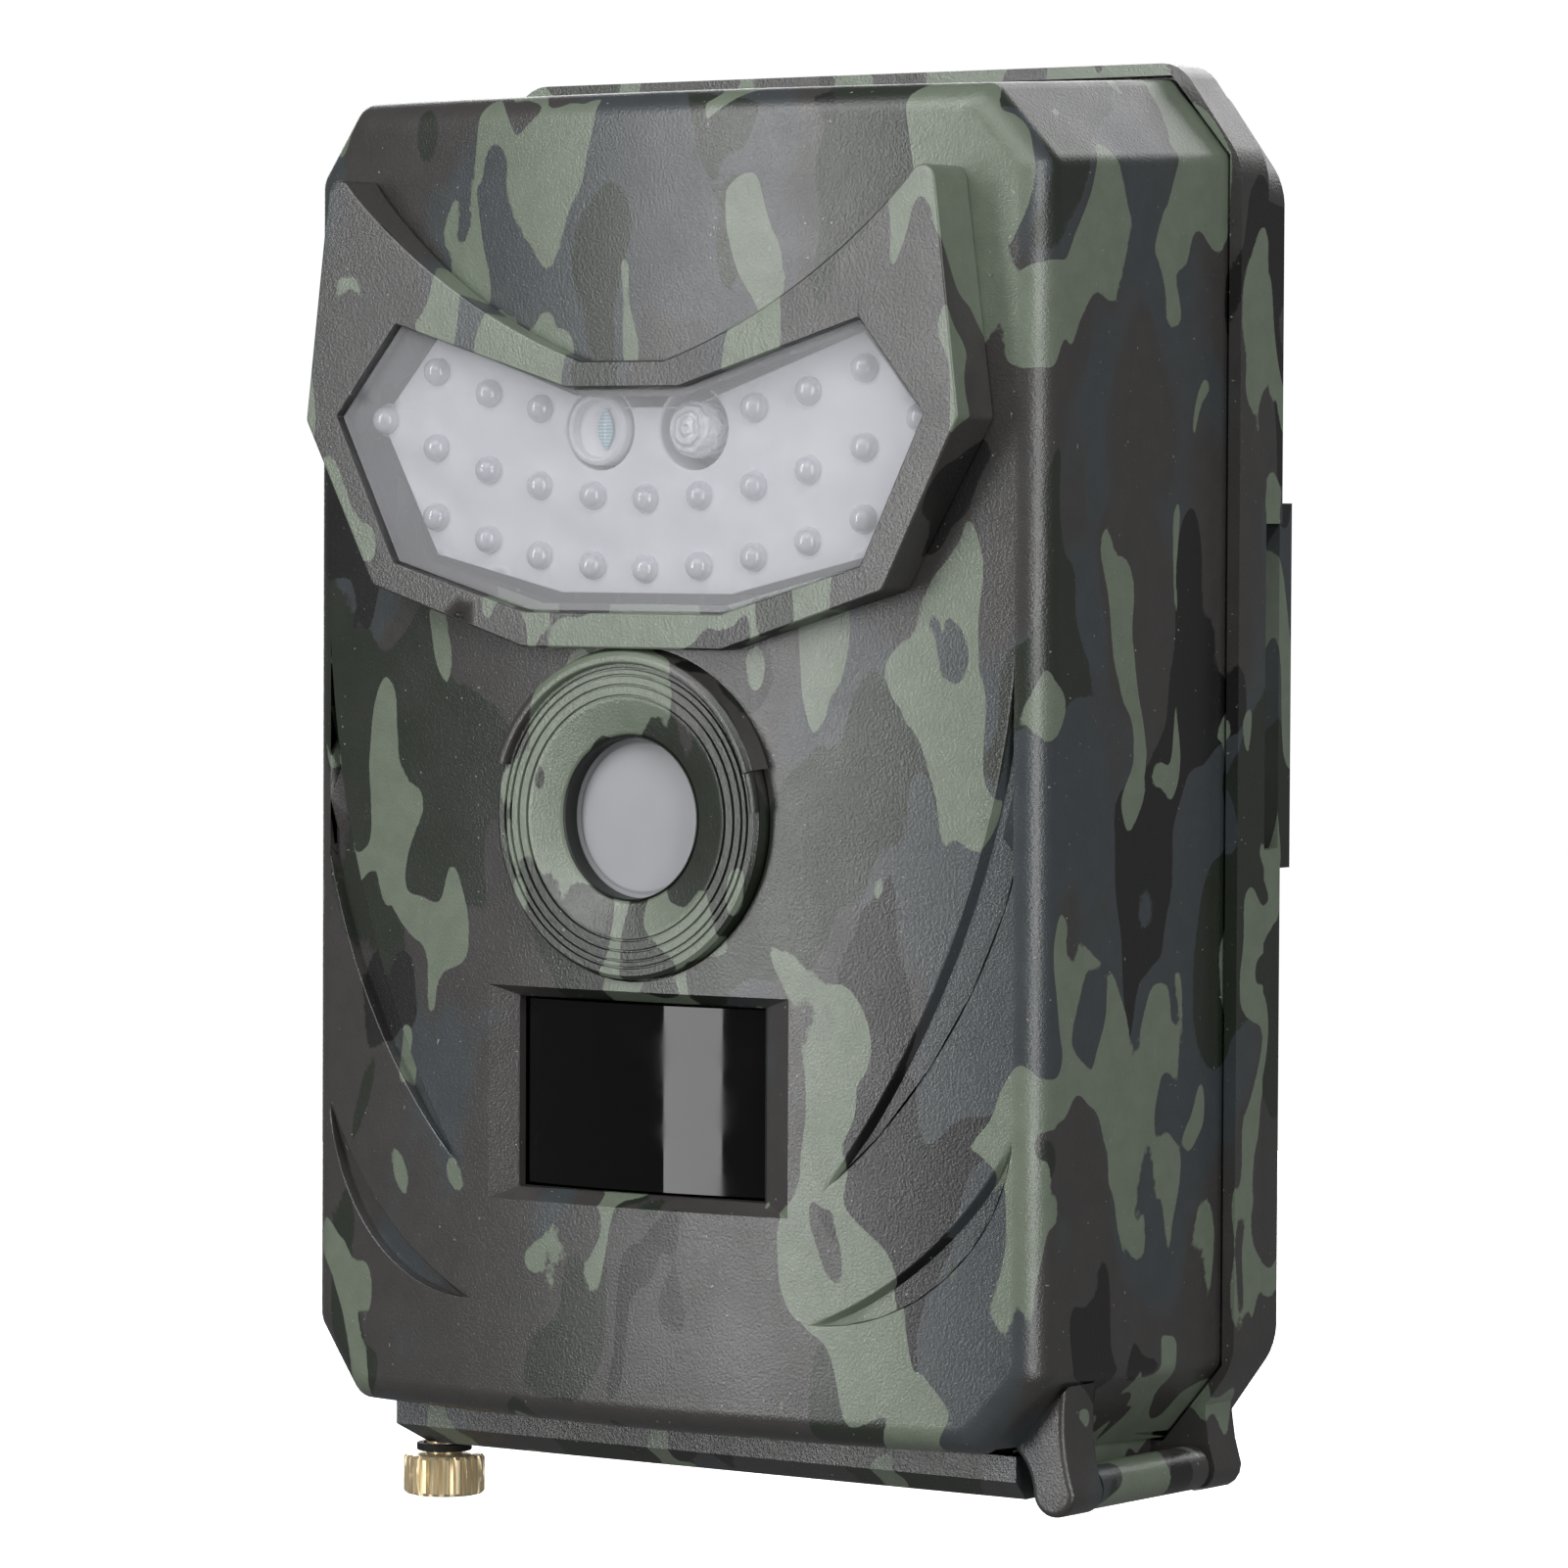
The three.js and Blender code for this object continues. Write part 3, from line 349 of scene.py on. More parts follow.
MATERIALS = {
    "camo_case": camo_material(),
    "frosted_window": frosted_material(),
    "led_epoxy": epoxy_material(),
    "circuit_board": board_material(),
    "black_plastic": plain_material("black_plastic", rgb(34, 35, 34), 0.45),
    "grey_plastic": plain_material("grey_plastic", rgb(98, 101, 104), 0.5),
    "optical_glass": plain_material("optical_glass", rgb(70, 78, 92), 0.06, grain_mm=0.002, Coat_Weight=1.0),
    "black_gloss": plain_material(
        "black_gloss", rgb(10, 10, 11), 0.05, grain_mm=0.0005, grain_scale=300, Specular_IOR_Level=0.3
    ),
    "steel": metal_material("steel", rgb(186, 187, 189), 0.28, (1, 1, 0.1)),
    "brass": metal_material("brass", rgb(242, 222, 180), 0.3, (1, 1, 0.06), 0.5),
    "rubber": plain_material("rubber", rgb(26, 26, 26), 0.7, grain_mm=0.04),
    "cell_wrap": label_material(),
}
GUIDE = guide_material()
CELL_LOOK = cell_look()
DOME_LOOK = dome_look()
DISC = frosted_material("lens_disc", 0.3, 194)
SLOT_OF = {part["node"]: part["material_slot"] for part in frame["record"]["subparts"]}
BODY_OF = {n: body for body, nodes in frame["record"]["behaviour"]["bodies"].items() for n in nodes}

# ---- Making pieces ----


def piece(name, vertices, faces, node, replaces=None, material=None, sharp=32):
    """A mesh piece that rides on the body of a CAD node and stands for it."""
    mesh = bpy.data.meshes.new(name)
    mesh.from_pydata([tuple(c * MM for c in v) for v in vertices], [], faces)
    return finish_piece(name, mesh, node, replaces, material, sharp)


def finish_piece(name, mesh, node, replaces=None, material=None, sharp=32):
    """Cleans a mesh, keeps edges over the sharp angle crisp, and adds it as a piece of its node's body."""
    bm = bmesh.new()
    bm.from_mesh(mesh)
    bmesh.ops.remove_doubles(bm, verts=bm.verts, dist=1e-6)
    loose = [v for v in bm.verts if not v.link_faces]
    bmesh.ops.delete(bm, geom=loose, context="VERTS")
    bmesh.ops.recalc_face_normals(bm, faces=bm.faces)
    for edge in bm.edges:
        edge.smooth = edge.calc_face_angle(0) < math.radians(sharp)
    for face in bm.faces:
        face.smooth = True
    bm.to_mesh(mesh)
    bm.free()
    if "custom_normal" in mesh.attributes:
        mesh.attributes.remove(mesh.attributes["custom_normal"])
    mesh.materials.clear()
    mesh.materials.append(material or MATERIALS[SLOT_OF[node]])
    made = bpy.data.objects.new(name, mesh)
    bpy.context.scene.collection.objects.link(made)
    made.modifiers.new("flat faces lead", "WEIGHTED_NORMAL").keep_sharp = True
    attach(made, BODY_OF[node])
    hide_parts(*([node] if replaces is None else replaces))
    return made


def crown(x):
    return CROWN_RADIUS - math.sqrt(CROWN_RADIUS**2 - x**2)


def face_y(x):
    return FRONT_Y + crown(x)


def rounded(points, radius, steps=5):
    """A closed outline with its corners rounded, by a radius or one radius for each corner."""
    made = []
    count = len(points)
    radii = radius if isinstance(radius, (list, tuple)) else [radius] * count
    for i, corner in enumerate(points):
        here = Vector(corner)
        a = (Vector(points[i - 1]) - here).normalized()
        b = (Vector(points[(i + 1) % count]) - here).normalized()
        half = math.acos(max(-1, min(1, a.dot(b)))) / 2
        reach = min(radii[i] / math.tan(half), (Vector(points[i - 1]) - here).length * 0.45)
        reach = min(reach, (Vector(points[(i + 1) % count]) - here).length * 0.45)
        start, end = here + a * reach, here + b * reach
        for k in range(steps + 1):
            t = k / steps
            made.append(tuple(start * (1 - t) ** 2 + here * 2 * t * (1 - t) + end * t * t))
    return made


def dense(loop, spacing):
    """A closed outline with points added along its long edges."""
    made = []
    for a, b in zip(loop, loop[1:] + loop[:1]):
        count = max(1, round(math.dist(a, b) / spacing))
        made += [tuple(Vector(a).lerp(Vector(b), k / count)) for k in range(count)]
    return made


def offset(loop, by):
    """A closed anticlockwise outline moved outwards by a distance."""
    made = []
    count = len(loop)
    for i, (x, z) in enumerate(loop):
        a, b = Vector(loop[i - 1]), Vector(loop[(i + 1) % count])
        before, after = (Vector((x, z)) - a).normalized(), (b - Vector((x, z))).normalized()
        normal = Vector((before.y + after.y, -before.x - after.x)).normalized()
        miter = max(0.5, normal.dot(Vector((before.y, -before.x))))
        made.append((x + normal.x * by / miter, z + normal.y * by / miter))
    return made


def anticlockwise(loop):
    area = sum(a[0] * b[1] - b[0] * a[1] for a, b in zip(loop, loop[1:] + loop[:1]))
    return loop if area > 0 else loop[::-1]


def within(points, loop):
    """For each point, whether it is inside a closed outline."""
    p, q = np.array(loop), np.roll(np.array(loop), -1, axis=0)
    x, z = points[:, :1], points[:, 1:]
    crosses = (p[:, 1] > z) != (q[:, 1] > z)
    at = (q[:, 0] - p[:, 0]) * (z - p[:, 1]) / (q[:, 1] - p[:, 1] + 1e-12) + p[:, 0]
    return ((crosses & (x < at)).sum(1) % 2) == 1


def clearance(points, loop):
    """For each point, its distance to a closed outline."""
    p, q = np.array(loop), np.roll(np.array(loop), -1, axis=0)
    along = q - p
    t = ((points[:, None] - p) * along).sum(2) / ((along**2).sum(1) + 1e-12)
    nearest = p + along * np.clip(t, 0, 1)[..., None]
    return np.sqrt(((points[:, None] - nearest) ** 2).sum(2)).min(1)


class Sheet:
    """Points and faces of one piece, gathered ring by ring."""

    def __init__(self):
        self.points, self.faces = [], []

    def ring(self, points):
        first = len(self.points)
        self.points += points
        return list(range(first, len(self.points)))

    def bridge(self, a, b):
        for i in range(len(a)):
            j = (i + 1) % len(a)
            self.faces.append((a[i], a[j], b[j], b[i]))

    def cap(self, outer, holes, spacing, height, creases=()):
        """Fills an outline round its holes with triangles at height(x, z), with edges on the creases."""
        flat = [[(self.points[i][0], self.points[i][2]) for i in ring] for ring in (outer, *holes)]
        xs, zs = [p[0] for p in flat[0]], [p[1] for p in flat[0]]
        grid = np.array(
            [
                (x + (row % 2) * spacing / 2, z)
                for row, z in enumerate(np.arange(min(zs), max(zs), spacing))
                for x in np.arange(min(xs), max(xs), spacing)
            ]
        )
        fixed = [p for loop in creases for p in loop]
        keep = within(grid, flat[0])
        for loop in flat:
            keep &= clearance(grid, loop) > spacing * 0.45
        for loop in flat[1:]:
            keep &= ~within(grid, loop)
        if fixed:
            near = np.array(fixed)
            keep &= np.array([np.hypot(*(near - g).T).min() for g in grid]) > spacing * 0.45
        where, edges = [], []
        for loop in flat:
            first = len(where)
            where += loop
            edges += [(first + i, first + (i + 1) % len(loop)) for i in range(len(loop))]
        rims = [i for ring in (outer, *holes) for i in ring]
        for loop in creases:
            first = len(where)
            where += loop
            edges += [(first + i, first + i + 1) for i in range(len(loop) - 1)]
        where += [tuple(p) for p in grid[keep]]
        out = delaunay_2d_cdt([Vector(p) for p in where], edges, [], 0, 1e-5)
        places, triangles, sources = out[0], out[2], out[3]
        index = []
        for place, source in zip(places, sources):
            own = [s for s in source if s < len(rims)]
            if own:
                index.append(rims[own[0]])
            else:
                index.append(len(self.points))
                self.points.append((place.x, height(place.x, place.y), place.y))
        centres = np.array([[sum(places[i][k] for i in t) / 3 for k in (0, 1)] for t in triangles])
        keep = within(centres, flat[0])
        for loop in flat[1:]:
            keep &= ~within(centres, loop)
        self.faces += [tuple(index[i] for i in t) for t, kept in zip(triangles, keep) if kept]


OUTLINE_CORNER = 2.2


def chamfered(outline, by=0.0):
    """The case's chamfered rectangle, moved inwards, as [x, z] points."""
    half, top, bottom, cut_x, cut_z = outline
    slant = math.hypot(cut_x, cut_z)
    cx = cut_x - by * (1 + (cut_x - slant) / cut_z)
    cz = cut_z - by * (1 + (cut_z - slant) / cut_x)
    h, t, b = half - by, top - by, bottom + by
    corners = [(h, b + cz), (h, t - cz), (h - cx, t), (cx - h, t)]
    corners += [(-h, t - cz), (-h, b + cz), (cx - h, b), (h - cx, b)]
    made = []
    loop = rounded(corners, OUTLINE_CORNER, 6)
    parts_of_side = [24, 2, 10, 2, 24, 2, 10, 2]
    step = len(loop) // 8
    for i in range(8):
        arc = loop[i * step : (i + 1) * step]
        following = loop[((i + 1) * step) % len(loop)]
        made += arc[:-1]
        n = parts_of_side[i]
        made += [tuple(Vector(arc[-1]).lerp(Vector(following), k / n)) for k in range(n)]
    return made


def circle_through(a, b, c):
    """The circle through three points: its centre, its radius and which way the points turn."""
    d = 2 * (a[0] * (b[1] - c[1]) + b[0] * (c[1] - a[1]) + c[0] * (a[1] - b[1]))
    sa, sb, sc = (p[0] ** 2 + p[1] ** 2 for p in (a, b, c))
    x = (sa * (b[1] - c[1]) + sb * (c[1] - a[1]) + sc * (a[1] - b[1])) / d
    z = (sa * (c[0] - b[0]) + sb * (a[0] - c[0]) + sc * (b[0] - a[0])) / d
    return x, z, math.hypot(a[0] - x, a[1] - z), 1 if d > 0 else -1


def arc_points(a, b, c, spacing, beside=0.0):
    """Points on the arc from a through b to c, on a line to one side of it."""
    x, z, radius, turn = circle_through(a, b, c)
    start, end = math.atan2(a[1] - z, a[0] - x), math.atan2(c[1] - z, c[0] - x)
    sweep = ((end - start) * turn) % (2 * math.pi) * turn
    count = max(4, round(abs(sweep) * radius / spacing))
    reach = radius + beside
    angles = [start + sweep * k / count for k in range(count + 1)]
    return [(x + reach * math.cos(angle), z + reach * math.sin(angle)) for angle in angles]


def ease(t):
    t = max(0.0, min(1.0, t))
    return t * t * (3 - 2 * t)


CLAW_DEPTH = 1.1
CLAW_CHAMFER = 0.12
CLAW_INNER_WALL = 0.5
CLAW_OUTER_WALL = 0.15
CLAW_FULL_WIDTH = 1.8
MASK_UNDERCUT = 0.3
CLAW_CIRCLES = [
    (circle_through(tip, inner, top), circle_through(tip, outer, top)) for tip, inner, outer, top in CLAWS
]


def step_down(inside, wall):
    """How deep, from 0 to 1, the face lies this far inside a claw's edge: a chamfer, then a steep wall."""
    return float(np.interp(inside, (-CLAW_CHAMFER, 0, wall), (0, 0.08, 1)))


def claw_depth(x, z):
    """How far the claw-shaped recesses sink the face: a floor between two walls, shallower at the tips."""
    x = abs(x)
    deepest = 0.0
    for (inner_x, inner_z, inner_radius, _), (outer_x, outer_z, outer_radius, _) in CLAW_CIRCLES:
        inside_inner = math.hypot(x - inner_x, z - inner_z) - inner_radius
        inside_outer = outer_radius - math.hypot(x - outer_x, z - outer_z)
        size = min(1, max(0, inside_inner + inside_outer) / CLAW_FULL_WIDTH)
        share = min(step_down(inside_inner, CLAW_INNER_WALL), step_down(inside_outer, CLAW_OUTER_WALL))
        deepest = max(deepest, CLAW_DEPTH * size * share)
    return deepest


def claw_lines():
    """The lines along each claw's walls where the face creases, and lines beside them that keep it even."""
    made = []
    for tip, inner, outer, top in CLAWS:
        for side in (1, -1):
            for middle, rows in (
                (inner, (-0.6, -CLAW_CHAMFER, 0.0, CLAW_INNER_WALL, CLAW_INNER_WALL + 0.12, 1.2)),
                (outer, (-0.8, -CLAW_OUTER_WALL - 0.12, -CLAW_OUTER_WALL, 0.0, CLAW_CHAMFER, 0.6)),
            ):
                for beside in rows:
                    made.append([(x * side, z) for x, z in arc_points(tip, middle, top, 1.2, beside)])
    return made


def rectangle(half, top, bottom):
    return [(half, bottom), (half, top), (-half, top), (-half, bottom)]


def circle(radius, count=96, x=0.0, z=LENS_Z):
    angles = [2 * math.pi * i / count for i in range(count)]
    return [(x + radius * math.cos(angle), z + radius * math.sin(angle)) for angle in angles]


def window_outline(by):
    points = WINDOW + [(-x, z) for x, z in WINDOW[::-1]]
    made = []
    for x, z in points:
        reach = math.dist((x, z), WINDOW_CENTRE)
        made.append((x - by * (x - WINDOW_CENTRE[0]) / reach, z - by * (z - WINDOW_CENTRE[1]) / reach))
    return anticlockwise(made)


# ---- Front shell: a fine outer skin, over the inside of the CAD shell ----

EAR_FRONT_Y, EAR_BACK_Y, EAR_LEFT_X, EAR_TOP_Z = -32.0, -26.5, 39.9, -76.2
SKIN_END_Y = EAR_FRONT_Y
DOOR_TOP_Z, DOOR_HALF_WIDTH = -76.0, 41
WALL_BACK_Y = -41.0
NEAR_SIDE = 1.6


def front_skin():
    """The shell's rounded edge, its sides and its crowned face with the claws and the openings."""
    sheet = Sheet()
    rings = []
    for step in range(13):
        angle = math.radians(90 * step / 12)
        by = EDGE_RADIUS * (1 - math.sin(angle))
        loop = chamfered(FRONT_OUTLINE, by)
        rings.append(sheet.ring([(x, face_y(x) + EDGE_RADIUS * (1 - math.cos(angle)), z) for x, z in loop]))
    first, last = chamfered(FRONT_OUTLINE), chamfered(SEAM_OUTLINE)
    for share in (0.3, 0.65, 1.0):
        ring = []
        for a, b in zip(first, last):
            start_y = face_y(a[0]) + EDGE_RADIUS
            y = start_y + (SHELL_END_Y - start_y) * share
            ring.append((a[0] + (b[0] - a[0]) * share, y, a[1] + (b[1] - a[1]) * share))
        rings.append(sheet.ring(ring))
    for a, b in zip(rings, rings[1:]):
        sheet.bridge(a, b)

    def height(x, z):
        return face_y(x) + claw_depth(x, z)

    hole_ring = sheet.ring([(x, PIR_FLOOR_Y, z) for x, z in dense(rectangle(*PIR_INNER), 1.5)])
    mouth_ring = sheet.ring([(x, face_y(x), z) for x, z in dense(rectangle(*PIR_MOUTH), 1.5)])
    lens_ring = sheet.ring([(x, face_y(x), z) for x, z in circle(RING_RADIUS + 0.3)])
    window_ring = sheet.ring([(x, face_y(x), z) for x, z in dense(window_outline(1.2), 3)])
    sheet.cap(rings[0], [mouth_ring, lens_ring, window_ring], 3.0, height, creases=claw_lines())
    bevel_loop(sheet, mouth_ring, hole_ring)
    return sheet


def bevel_loop(sheet, outer, inner):
    """Joins two rectangles' rings whose points are spread in the same order but may differ in count."""
    a, b = [sheet.points[i] for i in outer], [sheet.points[i] for i in inner]

    def shares(points):
        total, made = 0.0, [0.0]
        for p, q in zip(points, points[1:] + points[:1]):
            total += math.dist(p, q)
            made.append(total)
        return [m / total for m in made]

    sa, sb = shares(a), shares(b)
    i = j = 0
    while i < len(a) or j < len(b):
        ia, ib = outer[i % len(a)], inner[j % len(b)]
        if j >= len(b) or (i < len(a) and sa[i + 1] <= sb[j + 1]):
            sheet.faces.append((ia, outer[(i + 1) % len(a)], ib))
            i += 1
        else:
            sheet.faces.append((ia, inner[(j + 1) % len(b)], ib))
            j += 1


def outer_surface(p):
    """True where a CAD face centre lies on the part of the shell that the skin stands for."""
    x, y, z = p
    if z < DOOR_TOP_Z and y > SKIN_END_Y:
        return False
    if y < WALL_BACK_Y + crown(x) and y < SHELL_END_Y - 1:
        return True
    share = (y - FRONT_Y) / (SHELL_END_Y - FRONT_Y)
    mixed = [a + (b - a) * share for a, b in zip(FRONT_OUTLINE, SEAM_OUTLINE)]
    half, top, bottom, cut_x, cut_z = mixed
    corner = (abs(x) - (half - cut_x)) / cut_x
    limit = top - cut_z * corner if z > 0 else -(bottom + cut_z * corner)
    at_corner = corner > 0 and abs(z) > limit - NEAR_SIDE - 0.1
    return abs(x) > half - NEAR_SIDE or z > top - NEAR_SIDE or z < bottom + NEAR_SIDE or at_corner


def build_front_shell():
    """The fine skin joined to the CAD shell's inside, with the CAD's own faces over the door's opening."""
    sheet = front_skin()
    skin_faces = []
    for face in sheet.faces:
        centre = [sum(sheet.points[i][k] for i in face) / len(face) for k in range(3)]
        if not (centre[2] < DOOR_TOP_Z and centre[1] > SKIN_END_Y and abs(centre[0]) < DOOR_HALF_WIDTH):
            skin_faces.append(face)
    mesh = bpy.data.meshes.new("front_shell_visual")
    mesh.from_pydata([tuple(c * MM for c in p) for p in sheet.points], [], skin_faces)
    bm = bmesh.new()
    bm.from_mesh(frame["nodes"]["front_shell"].data)
    everything = bm.verts[:] + bm.edges[:] + bm.faces[:]
    cut = {"plane_co": (0, SKIN_END_Y * MM, 0), "plane_no": (0, 1, 0)}
    bmesh.ops.bisect_plane(bm, geom=everything, dist=1e-6, **cut)
    gone = []
    for face in bm.faces:
        centre = face.calc_center_median() / MM
        outward = face.normal.dot(Vector((centre.x * 0.02, -1 if centre.y < -30 else 0, centre.z * 0.02)))
        in_ear_depth = EAR_FRONT_Y - 0.05 < centre.y < EAR_BACK_Y + 0.1
        in_ear = in_ear_depth and centre.x > EAR_LEFT_X - 0.1 and centre.z < EAR_TOP_Z
        if in_ear or (outer_surface(centre) and outward > 0.05):
            gone.append(face)
    bmesh.ops.delete(bm, geom=gone, context="FACES")
    bm.from_mesh(mesh)
    bm.to_mesh(mesh)
    bm.free()
    finish_piece("front_shell_visual", mesh, "front_shell", sharp=12)


# ---- Plates with softened edges ----


def slab(
    sheet,
    outline,
    holes,
    front,
    back,
    soft=0.5,
    undercut=0.0,
    hole_soft=0.3,
    hole_back=None,
    spacing=4.0,
    relief=None,
):
    """A plate from front to back: back may be a function of x. Its front edges are rounded over.

    An undercut narrows its foot, and relief is a function that gives its front y at each x and z.
    """
    back_y = back if callable(back) else (lambda x: back)
    outline = anticlockwise(outline)
    rings = []
    if undercut:
        for inset, lift in ((undercut, 0), (undercut, undercut), (0, undercut)):
            rings.append(sheet.ring([(x, back_y(x) - lift, z) for x, z in offset(outline, -inset)]))
    else:
        rings.append(sheet.ring([(x, back_y(x), z) for x, z in outline]))
    for step in range(5):
        angle = math.radians(90 * step / 4)
        loop = offset(outline, -soft * (1 - math.cos(angle)))
        rings.append(sheet.ring([(x, front + soft * (1 - math.sin(angle)), z) for x, z in loop]))
    for a, b in zip(rings, rings[1:]):
        sheet.bridge(a, b)
    hole_rings = []
    for hole in holes:
        hole = anticlockwise(hole)
        end = hole_back if hole_back is not None else back_y(0)
        inner = [sheet.ring([(x, end, z) for x, z in hole])]
        for step in range(4):
            angle = math.radians(90 * step / 3)
            loop = offset(hole, hole_soft * (1 - math.cos(angle)))
            inner.append(sheet.ring([(x, front + hole_soft * (1 - math.sin(angle)), z) for x, z in loop]))
        for a, b in zip(inner, inner[1:]):
            sheet.bridge(a, b)
        hole_rings.append(inner[-1])
    sheet.cap(rings[-1], hole_rings, spacing, relief or (lambda x, z: front))
    return rings[0]


def mask_outline():
    """One half from the middle of the brow, round the horn and down to the foot, and its mirror image."""
    brow = arc_points((5.2, 33.1), (22.4, 41.1), (34.6, 50.6), 2.2)
    tip = arc_points((35.4, 51.5), (36.9, 52.2), (38.2, 51.0), 0.5)
    corners = rounded([(38.2, 51.0), (41.1, 27.2), (32.2, 10.0), (12.6, 3.8), (0, 3.8)], 1.0, 4)[5:-5]
    half = brow + tip + corners
    return dense(anticlockwise(half + [(-x, z) for x, z in half[::-1]]), 3)


def build_mask():
    sheet = Sheet()
    hole = dense(rounded(window_outline(0), 0.35, 3), 3)
    slab(
        sheet,
        mask_outline(),
        [hole],
        MASK_Y,
        lambda x: face_y(x) + 0.02,
        soft=0.25,
        undercut=MASK_UNDERCUT,
        hole_soft=0.15,
        hole_back=FRONT_Y + 0.6,
    )
    piece("flash_mask_visual", sheet.points, sheet.faces, "flash_mask", sharp=50)


def build_window():
    sheet = Sheet()
    outline = dense(rounded(window_outline(0.3), 0.35, 3), 3)
    front, back = MASK_Y + 0.7, MASK_Y + 1.8
    back_ring = slab(sheet, outline, [], front, back, 0.12)
    sheet.cap(back_ring, (), 6.0, lambda x, z: back)
    piece("flash_window_visual", sheet.points, sheet.faces, "flash_window")


# ---- Turned pieces ----


def turned(sheet, profile, x, z, count=48, wobble=None):
    """A profile of (radius, y) points turned about a line along Y. A radius of 0 closes it."""
    rings = []
    for radius, y in profile:
        if radius == 0:
            rings.append(sheet.ring([(x, y, z)]))
            continue
        ring = []
        for i in range(count):
            angle = 2 * math.pi * i / count
            r, shifted = wobble(radius, y, angle) if wobble else (radius, y)
            ring.append((x + r * math.cos(angle), shifted, z + r * math.sin(angle)))
        rings.append(sheet.ring(ring))
    for a, b in zip(rings, rings[1:]):
        if len(a) == 1 or len(b) == 1:
            centre, rim = (a[0], b) if len(a) == 1 else (b[0], a)
            sheet.faces += [(centre, rim[i], rim[(i + 1) % count]) for i in range(count)]
        else:
            sheet.bridge(a, b)


def turned_z(sheet, profile, x, y, count, wobble):
    """A profile of (radius, z) points turned about a line along Z."""
    first = len(sheet.points)
    turned(sheet, profile, 0, 0, count, wobble)
    sheet.points[first:] = [(x + px, y + pz, py) for px, py, pz in sheet.points[first:]]


def smooth_profile(points, radius=0.2, steps=3):
    """A profile with its corners rounded, ends kept."""
    made = [points[0]]
    for a, here, b in zip(points, points[1:], points[2:]):
        h = Vector(here)
        reach = min(radius, math.dist(a, here) * 0.4, math.dist(b, here) * 0.4)
        start = h + (Vector(a) - h).normalized() * reach
        end = h + (Vector(b) - h).normalized() * reach
        for k in range(steps + 1):
            t = k / steps
            made.append(tuple(start * (1 - t) ** 2 + h * 2 * t * (1 - t) + end * t * t))
    return made + [points[-1]]


GROOVE_RADII = (15.3, 14.6, 13.6, 12.5)
LIP_INNER = 15.75


def build_lens_ring():
    """The stepped ring with its fine grooves and its cone down to the lens opening."""
    sheet = Sheet()
    front = RING_FRONT_Y
    rim = [(RING_RADIUS, -41.5), (RING_RADIUS, front + 0.35), (RING_RADIUS - 0.4, front)]
    grooves = []
    for radius in GROOVE_RADII:
        floor = front + 0.28
        grooves += [(radius + 0.16, front), (radius + 0.07, floor)]
        grooves += [(radius - 0.07, floor), (radius - 0.16, front)]
    cone = [(11.9, front), (LENS_OPENING + 0.25, -43.2), (LENS_OPENING, -43.0)]
    cone += [(LENS_OPENING, -41.9), (9.9, -41.9), (9.9, -38.2)]
    back = [(RING_RADIUS - 1.6, -38.2), (RING_RADIUS - 1.6, -41.5), (RING_RADIUS, -41.5)]
    turned(sheet, rim + grooves + smooth_profile(cone, 0.25) + back, 0, LENS_Z, 160)
    # The lip over the upper half, and the small tab at its right end
    for start, end, height, outer in ((18, 161, 0.8, 17.7), (3.5, 17.6, 0.42, 16.6)):
        inner = LIP_INNER
        section = [
            (inner, front + 0.05),
            (inner + 0.1, front - height + 0.12),
            (inner + 0.25, front - height),
            (inner + 0.75, front - height),
            (min(outer, inner + 1.3), front - height + 0.3),
            (outer, face_y(0) + 0.35 if outer > RING_RADIUS + 0.5 else front + 0.3),
            (min(outer, RING_RADIUS), front + 0.6),
        ]
        section = smooth_profile(section, 0.12, 2)
        steps = max(4, round((end - start) / 2))
        rows = []
        for k in range(steps + 1):
            angle = math.radians(start + (end - start) * k / steps)
            across, up = math.cos(angle), math.sin(angle)
            rows.append(sheet.ring([(r * across, y, LENS_Z + r * up) for r, y in section]))
        for a, b in zip(rows, rows[1:]):
            sheet.faces += [(a[i], a[i + 1], b[i + 1], b[i]) for i in range(len(section) - 1)]
        sheet.faces += [tuple(rows[0]), tuple(rows[-1][::-1])]
    piece("lens_ring_visual", sheet.points, sheet.faces, "lens_ring", sharp=28)


def build_lens_cover():
    """The pale disc over the lens, and a thin black sleeve over the wall of the ring's opening: painted
    shade on that wall.
    """
    sheet = Sheet()
    profile = [(0, -41.12), (7.6, -41.05), (7.9, -40.9), (9.5, -40.9), (9.5, -40.4), (0, -40.4)]
    turned(sheet, smooth_profile(profile, 0.15), 0, LENS_Z, 96)
    piece("lens_cover_visual", sheet.points, sheet.faces, "lens_cover", material=DISC, sharp=60)
    # A black sleeve over the wall of the ring's opening: painted shade on that wall.
    opening_shade = Sheet()
    outer, inner, front, back = LENS_OPENING - 0.02, LENS_OPENING - 0.22, -43.1, -41.1
    profile = [(outer, front), (outer - 0.08, front - 0.08), (inner, front + 0.05)]
    profile += [(inner, back), (outer, back), (outer, front)]
    turned(opening_shade, profile, 0, LENS_Z, 96)
    black = MATERIALS["black_plastic"]
    piece("lens_opening_painted_shade", opening_shade.points, opening_shade.faces, "lens_ring", replaces=[], material=black)


